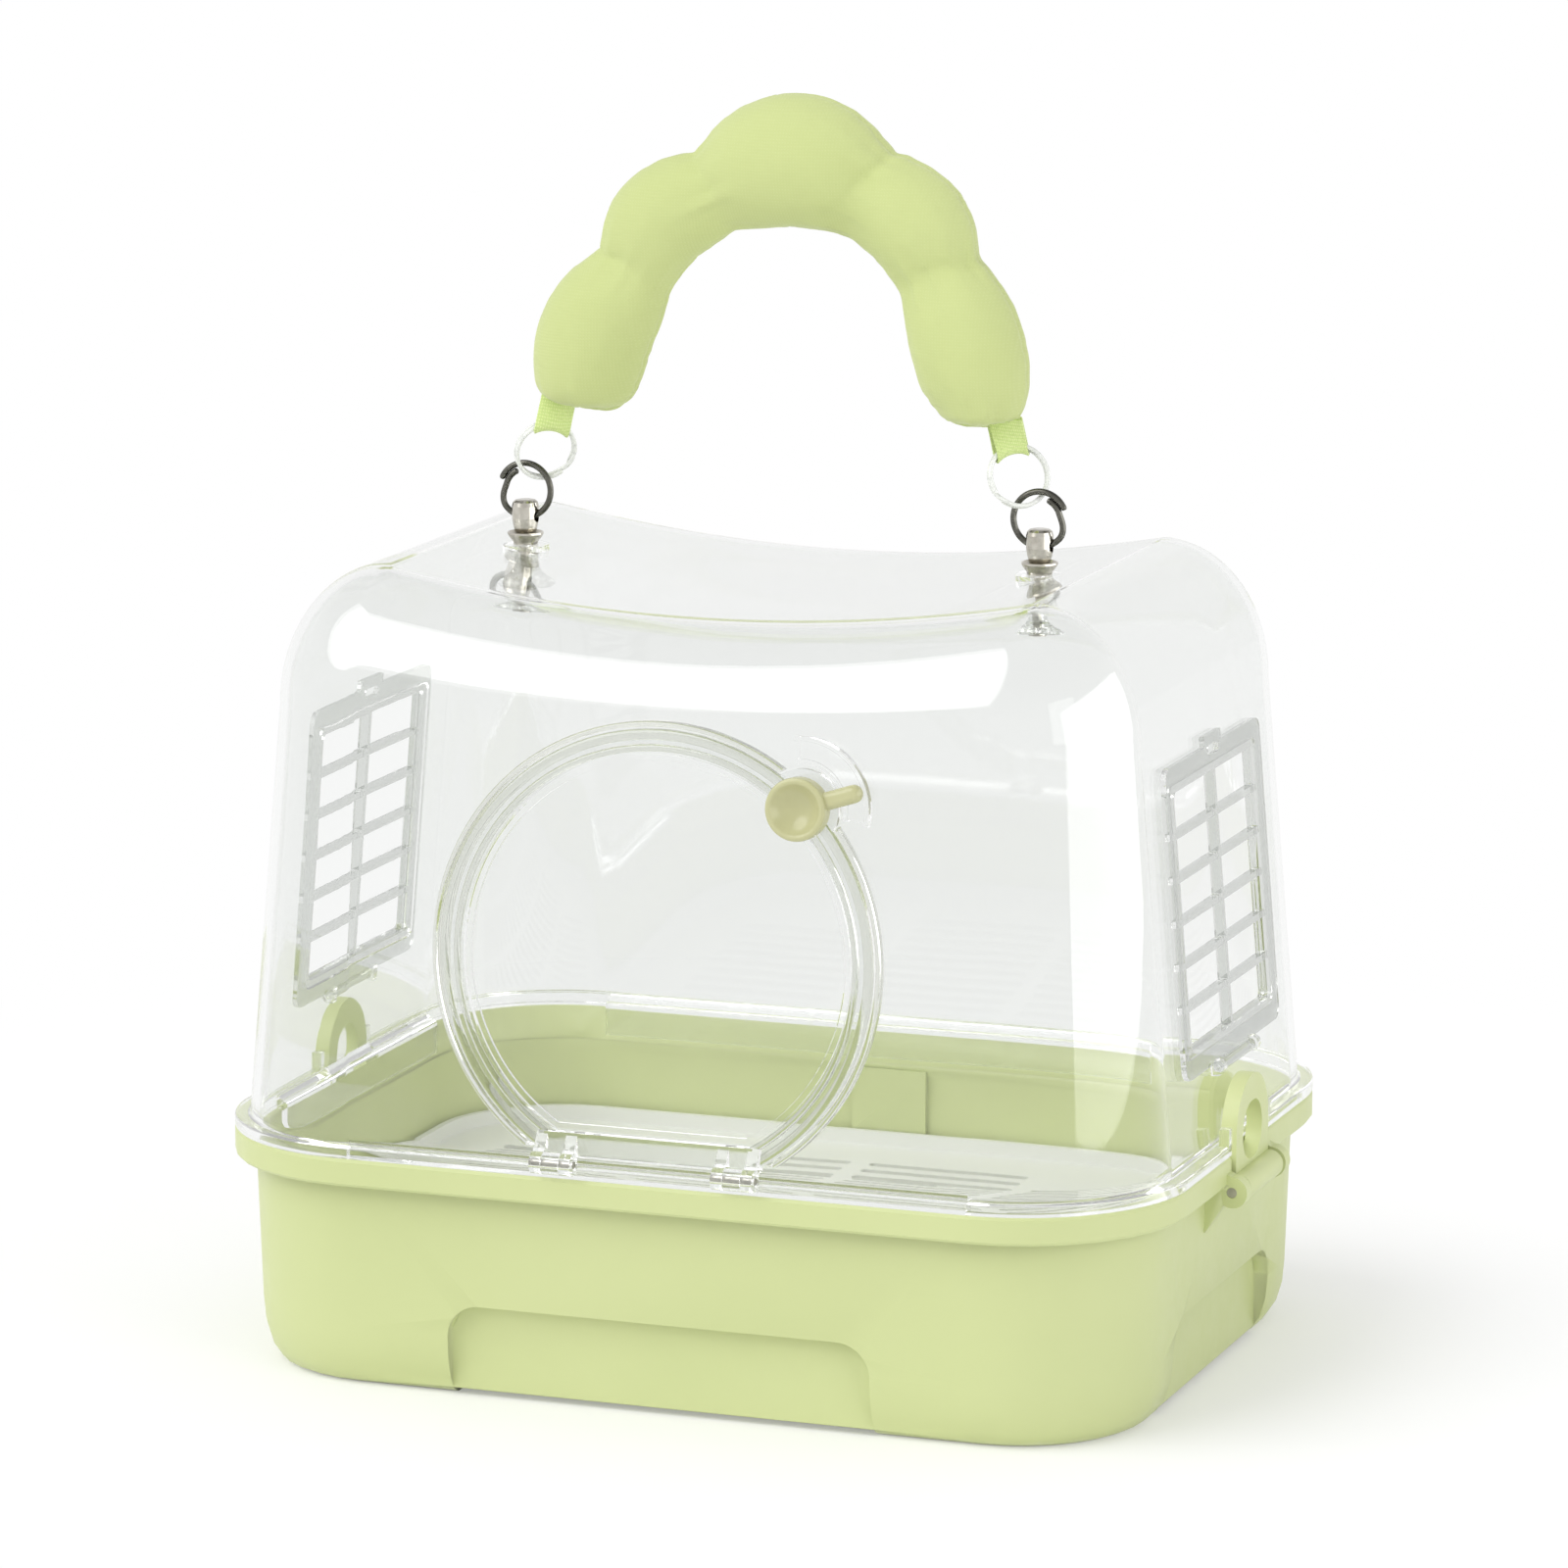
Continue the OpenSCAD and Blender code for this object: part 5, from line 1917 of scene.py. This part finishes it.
    def along(
        self, pad: bpy.types.Object, points: np.ndarray
    ) -> tuple[np.ndarray, np.ndarray, np.ndarray, np.ndarray]:
        """Reads where each vertex of the pad lies along its middle line.

        Args:
            pad: the pad.
            points: the middle line in mm.

        Returns:
            The vertices in mm, the nearest line point's number, the distance along the line
            in mm, and the offset from the line across it, outwards from the arch.
        """
        co = read(pad.data.vertices, "co") / MM
        flat = co[:, [0, 2]]
        nearest = np.argmin(((flat[:, None, :] - points[None]) ** 2).sum(2), 1)
        gaps = np.linalg.norm(np.diff(points, axis=0), axis=1)
        run = np.concatenate([[0], np.cumsum(gaps)])
        way = np.gradient(points, axis=0)
        way /= np.linalg.norm(way, axis=1)[:, None]
        off = flat - points[nearest]
        s = run[nearest] + (off * way[nearest]).sum(1)
        outward = np.stack([-way[:, 1], way[:, 0]], 1)
        return co, nearest, s, (off * outward[nearest]).sum(1)

    def pinches(self) -> list[int]:
        """Numbers of the middle line's points where two lobes meet."""
        return [self.steps * i for i in (2, 4, 6, 8)]

    def run_at(self, points: np.ndarray, index: int) -> float:
        """Distance in mm along the middle line up to one of its points."""
        return float(np.linalg.norm(np.diff(points[: index + 1], axis=0), axis=1).sum())

    def inflate(self, pad: bpy.types.Object, points: np.ndarray) -> None:
        """Swells the pad as cloth under pressure, held where its lobes are sewn in.

        Args:
            pad: the remeshed pad.
            points: the middle line in mm.
        """
        co, _, s, _ = self.along(pad, points)
        firm, half = self.hold
        hold = np.zeros(len(co))
        for index in self.pinches():
            near = hump(s - self.run_at(points, index), half)
            hold = np.maximum(hold, firm * near)
        ends = (s < 0.5) | (s > self.run_at(points, len(points) - 1) - 0.5)
        hold = np.where(ends, 1.0, hold)
        group = pad.vertex_groups.new(name="sewn")
        for i, weight in enumerate(hold):
            if weight > 0.15:
                group.add([i], float(weight), "REPLACE")
        cloth = pad.modifiers.new("stuffing", "CLOTH")
        settings = cloth.settings
        settings.quality = 6
        settings.mass = 0.2
        settings.tension_stiffness = settings.compression_stiffness = 12
        settings.shear_stiffness = 4
        settings.bending_stiffness = 0.4
        settings.use_pressure = True
        settings.uniform_pressure_force = 4
        settings.vertex_group_mass = "sewn"
        settings.pin_stiffness = 1
        settings.effector_weights.gravity = 0
        scene = bpy.context.scene
        for now in range(1, 21):
            scene.frame_set(now)
        graph = bpy.context.evaluated_depsgraph_get()
        swollen = pad.evaluated_get(graph).to_mesh()
        move = read(swollen.vertices, "co") / MM - co
        far = np.linalg.norm(move, axis=1)
        move *= (np.minimum(far, self.most_swell) / np.maximum(far, 1e-6))[:, None]
        pad.evaluated_get(graph).to_mesh_clear()
        pad.modifiers.clear()
        pad.vertex_groups.clear()
        scene.frame_set(1)
        moved(pad, co + move)
        log.info("pad swelled by up to %.1f mm", far.max())

    def sew(self, pad: bpy.types.Object, points: np.ndarray, halves: np.ndarray) -> None:
        """Draws in the outline seam and the creases between the lobes, with their puckers.

        Args:
            pad: the swollen pad.
            points: the middle line in mm.
            halves: the half thickness at each of its points.
        """
        co, nearest, s, across = self.along(pad, points)
        normals = read(pad.data.vertices, "normal")
        y = co[:, 1]
        edge = np.clip(np.abs(across) / halves[nearest], 0, 1.2)
        near_edge = np.clip((edge - 0.45) / 0.4, 0, 1)
        deep, half = self.seam
        seam = deep * hump(y, half) * near_edge
        deep, step, reach = self.gathers
        # The gathers on the arch's outer side and on its inner side don't line up
        gathers = deep * smooth_noise(5, s + 400 * (across > 0), step)
        gathers = gathers * np.exp(-np.abs(y) / reach) * near_edge
        around = np.degrees(np.arctan2(across, y / self.depth))
        crease = np.zeros(len(co))
        pucker = np.zeros(len(co))
        for number, index in enumerate(self.pinches()):
            away = s - self.run_at(points, index)
            # The crease bows a little, since the fuller lobe bulges over its neighbour
            fuller = -1 if number < 2 else 1
            bow = away + self.crease_bow * np.cos(np.pi * np.clip(across / 14, -1, 1)) * fuller
            ridge = 0.7 + 0.3 * smooth_noise(11 + number, around, 30)
            outer = np.clip(0.45 + 0.75 * across / halves[nearest], 0.15, 1)
            deep, half = self.crease
            crease += deep * hump(bow, half) * ridge * outer
            deep, step = self.pucker
            pucker += deep * smooth_noise(31 + number, around, step) * hump(away, self.pucker_half)
        deep, step = self.end_pucker
        for number, end in enumerate((0.0, self.run_at(points, len(points) - 1))):
            near = hump(s - end, self.pucker_half)
            pucker += deep * smooth_noise(51 + number, around, step) * near
        deep, step = self.slack
        slack = deep * smooth_noise(71, s + 1.7 * y, step) * (1 - near_edge)
        move = -seam - crease + pucker + gathers + slack
        moved(pad, co + normals * move[:, None])

    def end_line(
        self, side: Side, cover: BVHTree, y: float, reach: float, lift: float
    ) -> np.ndarray:
        """Finds a line on the pad's end, round it in an upright plane.

        Args:
            side: the end.
            cover: the pad's surface.
            y: the plane's y in mm.
            reach: how far the line runs each way from the end's middle, in degrees.
            lift: how far it stands off the cloth, in mm.

        Returns:
            The line's points in metres.
        """
        station = self.stations[0 if side is Side.LEFT else -1]
        way = math.radians(station[3])
        out = Vector((math.cos(way), 0, math.sin(way))) * side.value
        up = Vector((-out.z, 0, out.x))
        centre = (
            Vector((station[0] * self.links.post_x, y, self.swing_z + station[1])) - out * 3.0
        ) * MM
        found = []
        for angle in np.radians(np.linspace(-reach, reach, 60)):
            ray = out * math.cos(angle) + up * math.sin(angle)
            hit, _, _, _ = cover.ray_cast(centre, ray)
            if hit is not None:
                found.append(hit + ray * lift * MM)
        return np.array([tuple(p) for p in found])

    def end_welt(
        self, side: Side, cover: BVHTree, tree: bpy.types.NodeTree, material: bpy.types.Material
    ) -> None:
        """Makes the narrow welt that closes the outline seam at one end of the pad.

        Args:
            side: the end.
            cover: the pad's surface.
            tree: the sweep tree.
            material: the pad's cloth.
        """
        line = self.end_line(side, cover, 0.0, self.welt_reach, 0.1)
        ends = np.minimum(np.arange(len(line)), np.arange(len(line))[::-1])
        half = self.welt_half * np.clip(0.25 + ends / 6, 0, 1) * MM
        half = half * (1 + 0.12 * smooth_noise(83, np.arange(len(line)), 2.2))
        welt = grown(
            f"pad_end_welt_{side.word}",
            tree,
            line,
            half,
            {"Sides": 12, "Depth": 1.0, "Material": material},
        )
        placed(welt, Slot.PAD, "handle", "welt on the closing seam")

    def end_stitches(
        self, side: Side, cover: BVHTree, tree: bpy.types.NodeTree, material: bpy.types.Material
    ) -> None:
        """Lays a row of stitches beside the welt, on the front and on the back.

        Args:
            side: the end.
            cover: the pad's surface.
            tree: the stitch tree.
            material: the thread, in the tape's green.
        """
        pitch, length, thick = self.stitch
        for face, y in (("front", -self.stitch_y), ("back", self.stitch_y)):
            row = grown(
                f"pad_end_stitches_{face}_{side.word}",
                tree,
                self.end_line(side, cover, y, self.stitch_reach, 0.02),
                None,
                {
                    "Pitch": pitch * MM,
                    "Length": length * MM,
                    "Thickness": thick * MM,
                    "Seed": self.stitch_seed,
                    "Material": material,
                },
            )
            placed(row, Slot.PAD, "handle", "stitches through the closing seam")

    def half_gap(self, share: float) -> float:
        """Half the gap in mm between a tape's two legs, at a share of their height."""
        return self.tape_loop * (1 - self.tape_narrow * min(1, share * 1.25))

    def tape_line(self, side: Side, u: float) -> list[Vector]:
        """Follows a tape from the pad down to the split ring, round its wire and back up.

        Args:
            side: the tape's side.
            u: the line's place across the tape, from -1 to 1.

        Returns:
            The line's points in metres.
        """
        links = self.links
        matrix = links.split_frame(side)
        middle = 90 - math.degrees(links.link_turn()) + self.tape_lean
        spread = math.degrees(self.tape_w / 2 / links.split_r)
        a = math.radians(middle - u * spread)
        foot = matrix @ (Vector((math.cos(a), math.sin(a), 0)) * links.split_r * MM)
        x = side.value * (links.split_x - self.tape_in + u * self.tape_w / 2)
        top = Vector((x, 0, self.swing_z + self.tape_top)) * MM
        rise = (top - foot).normalized()
        across = (matrix.to_3x3() @ Vector((math.sin(a), -math.cos(a), 0))).normalized()
        front = rise.cross(across).normalized()
        if front.y > 0:
            front = -front
        length = (top - foot).length
        down, up = (
            [
                foot + rise * length * share + front * (way * self.half_gap(share) * MM)
                for share in np.linspace(self.tape_foot, 1, 12)
            ]
            for way in (1, -1)
        )
        loop = self.tape_loop * MM
        bend = [
            foot + front * (loop * math.cos(turn)) - rise * (loop * math.sin(turn))
            for turn in np.linspace(0, math.pi, 15)[1:-1]
        ]
        return down[::-1] + bend + up

    def tape(self, side: Side, material: bpy.types.Material) -> None:
        """Makes one webbing tab: a tape folded round the split ring, its ends in the pad.

        Args:
            side: the tab's side.
            material: the tape.
        """
        rows = [self.tape_line(side, u) for u in np.linspace(-1, 1, 15)]
        runs = []
        for line in rows:
            gaps = [(q - p).length for p, q in zip(line, line[1:])]
            runs.append(np.concatenate([[0], np.cumsum(gaps)]))
        tall, wide = len(rows[0]), len(rows)
        mesh = bpy.data.meshes.new(f"webbing_tape_{side.word}")
        faces = [
            (i * tall + j, (i + 1) * tall + j, (i + 1) * tall + j + 1, i * tall + j + 1)
            for i in range(wide - 1)
            for j in range(tall - 1)
        ]
        mesh.from_pydata([tuple(p) for line in rows for p in line], [], faces)
        cloth = mesh.uv_layers.new(name="weave")
        for loop in mesh.loops:
            i, j = divmod(loop.vertex_index, tall)
            cloth.data[loop.index].uv = (i / (wide - 1) * self.tape_w * MM, runs[i][j])
        mesh.materials.append(material)
        mesh.shade_smooth()
        tape = object_of(mesh.name, mesh)
        thick = tape.modifiers.new("thick", "SOLIDIFY")
        thick.thickness = self.tape_t * MM
        thick.offset = 0
        settle(tape)
        soft = tape.modifiers.new("soft_edge", "BEVEL")
        soft.width = self.tape_edge * MM
        soft.segments = 2
        soft.limit_method = "ANGLE"
        settle(tape)
        what = "tape folded round the split ring"
        placed(tape, Slot.WEBBING, "handle", what, f"webbing_tab_{side.word}")


# The studio


@dataclass
class Studio:
    """Camera, lamps, white room and pale floor."""

    # The camera that was fitted to the carrier's outlines in the photograph
    back: tuple[float, float, float] = (0.3399, -0.9207, 0.1920)
    right: tuple[float, float, float] = (0.9381, 0.3463, 0.0)
    up: tuple[float, float, float] = (-0.0665, 0.1801, 0.9814)
    aim_right_mm: float = 1.34
    aim_up_mm: float = 163.11
    far_mm: float = 2200.0
    focal_px: float = 7530.0
    picture_px: float = 1600.0
    floor_r: float = 14.0

    def build(self) -> None:
        """Sets the scene up for the photograph's view."""
        scene = bpy.context.scene
        scene.view_settings.view_transform = "Standard"
        # A ray meets up to a dozen faces of clear plastic on its way through the dome
        scene.cycles.max_bounces = 24
        scene.cycles.glossy_bounces = 24
        scene.cycles.transmission_bounces = 24
        scene.cycles.transparent_max_bounces = 24
        self.camera()
        self.room()
        self.lamps()
        self.floor()

    def camera(self) -> None:
        """Places the camera."""
        data = bpy.data.cameras.new("camera")
        data.sensor_width = 36.0
        data.lens = self.focal_px / self.picture_px * data.sensor_width
        data.clip_end = 60.0
        camera = object_of("camera", data)
        back, right, up = (Vector(v).normalized() for v in (self.back, self.right, self.up))
        aim = (right * self.aim_right_mm + up * self.aim_up_mm) * MM
        turn = Matrix((right, up, back)).transposed().to_4x4()
        camera.matrix_world = Matrix.Translation(aim + back * self.far_mm * MM) @ turn
        bpy.context.scene.camera = camera

    def room(self) -> None:
        """Makes the white room: even light, white where it is seen, darker overhead in gloss."""
        world = bpy.data.worlds.new("room")
        world.use_nodes = True
        tree = world.node_tree
        tree.nodes.clear()
        path = add(tree, "ShaderNodeLightPath")
        way = add(tree, "ShaderNodeTexCoord").outputs["Generated"]
        height = add(tree, "ShaderNodeSeparateXYZ", {0: way}).outputs["Z"]
        walls, overhead, light = ((v, v, v, 1.0) for v in (0.93, 0.35, 0.75))
        mirrored = mottled(tree, height, (0.3, 0.75), (0.0, 1.0), walls, overhead)
        lit = add(
            tree,
            "ShaderNodeMix",
            {0: path.outputs["Is Glossy Ray"], 6: light, 7: mirrored},
            data_type="RGBA",
        ).outputs[2]
        seen = add(
            tree,
            "ShaderNodeMath",
            {0: path.outputs["Is Camera Ray"], 1: path.outputs["Is Transmission Ray"]},
            operation="MAXIMUM",
        ).outputs[0]
        colour = add(
            tree, "ShaderNodeMix", {0: seen, 6: lit, 7: (1.0, 1.0, 1.0, 1.0)}, data_type="RGBA"
        ).outputs[2]
        shader = add(tree, "ShaderNodeBackground", {"Color": colour, "Strength": 1.0})
        add(tree, "ShaderNodeOutputWorld", {0: shader.outputs[0]})
        bpy.context.scene.world = world

    def lamps(self) -> None:
        """Hangs the soft sun, the softboxes that only draw the dome's highlights, and a fill."""
        sun = bpy.data.lights.new("sun", "SUN")
        sun.energy = 1.45
        sun.angle = math.radians(50)
        self.point(object_of("sun", sun), (-1.6, -1.5, 2.2))
        for name, place, width, height, power, mirrored in (
            ("softbox_front", (-1.0, -1.5, 1.35), 0.85, 0.7, 1.3, True),
            ("softbox_right", (0.95, 0.1, 0.27), 1.5, 0.7, 7.0, True),
            ("fill_right", (1.6, -0.9, 0.7), 0.9, 0.9, 5.5, False),
        ):
            box = bpy.data.lights.new(name, "AREA")
            box.shape = "RECTANGLE"
            box.size, box.size_y = width, height
            box.energy = power
            lamp = object_of(name, box)
            lamp.visible_diffuse = not mirrored
            lamp.visible_glossy = mirrored
            self.point(lamp, place)

    def point(self, lamp: bpy.types.Object, place: tuple[float, float, float]) -> None:
        """Puts a lamp at a place and turns it to the carrier's middle."""
        way = Vector((0, 0, 0.15)) - Vector(place)
        lamp.matrix_world = Matrix.Translation(place) @ way.to_track_quat(
            "-Z", "Y"
        ).to_matrix().to_4x4()

    def floor(self) -> None:
        """Lays the floor: a round sheet of pale paper under the feet."""
        mesh = bpy.data.meshes.new("studio_floor")
        sides = 96
        turns = [math.tau * i / sides for i in range(sides)]
        rim = [(self.floor_r * math.cos(a), self.floor_r * math.sin(a), 0.0) for a in turns]
        mesh.from_pydata(
            [(0.0, 0.0, 0.0), *rim], [], [(0, i + 1, (i + 1) % sides + 1) for i in range(sides)]
        )
        mesh.materials.append(StudioFloor("matt_studio_paper", "FAFAFA").material())
        floor = object_of("studio_floor", mesh)


def main() -> None:
    """Builds the carrier's looks in order."""
    logging.basicConfig(level=logging.INFO, format="%(name)s: %(message)s")
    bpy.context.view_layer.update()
    materials = {slot: finish.material() for slot, finish in FINISHES.items()}
    Studio().build()
    TubAssembly().build(materials)
    CoverAssembly().build(materials)
    links = SwivelLinks()
    links.build(materials)
    CarryHandle(links).build(materials)


if __name__ == "__main__":
    main()
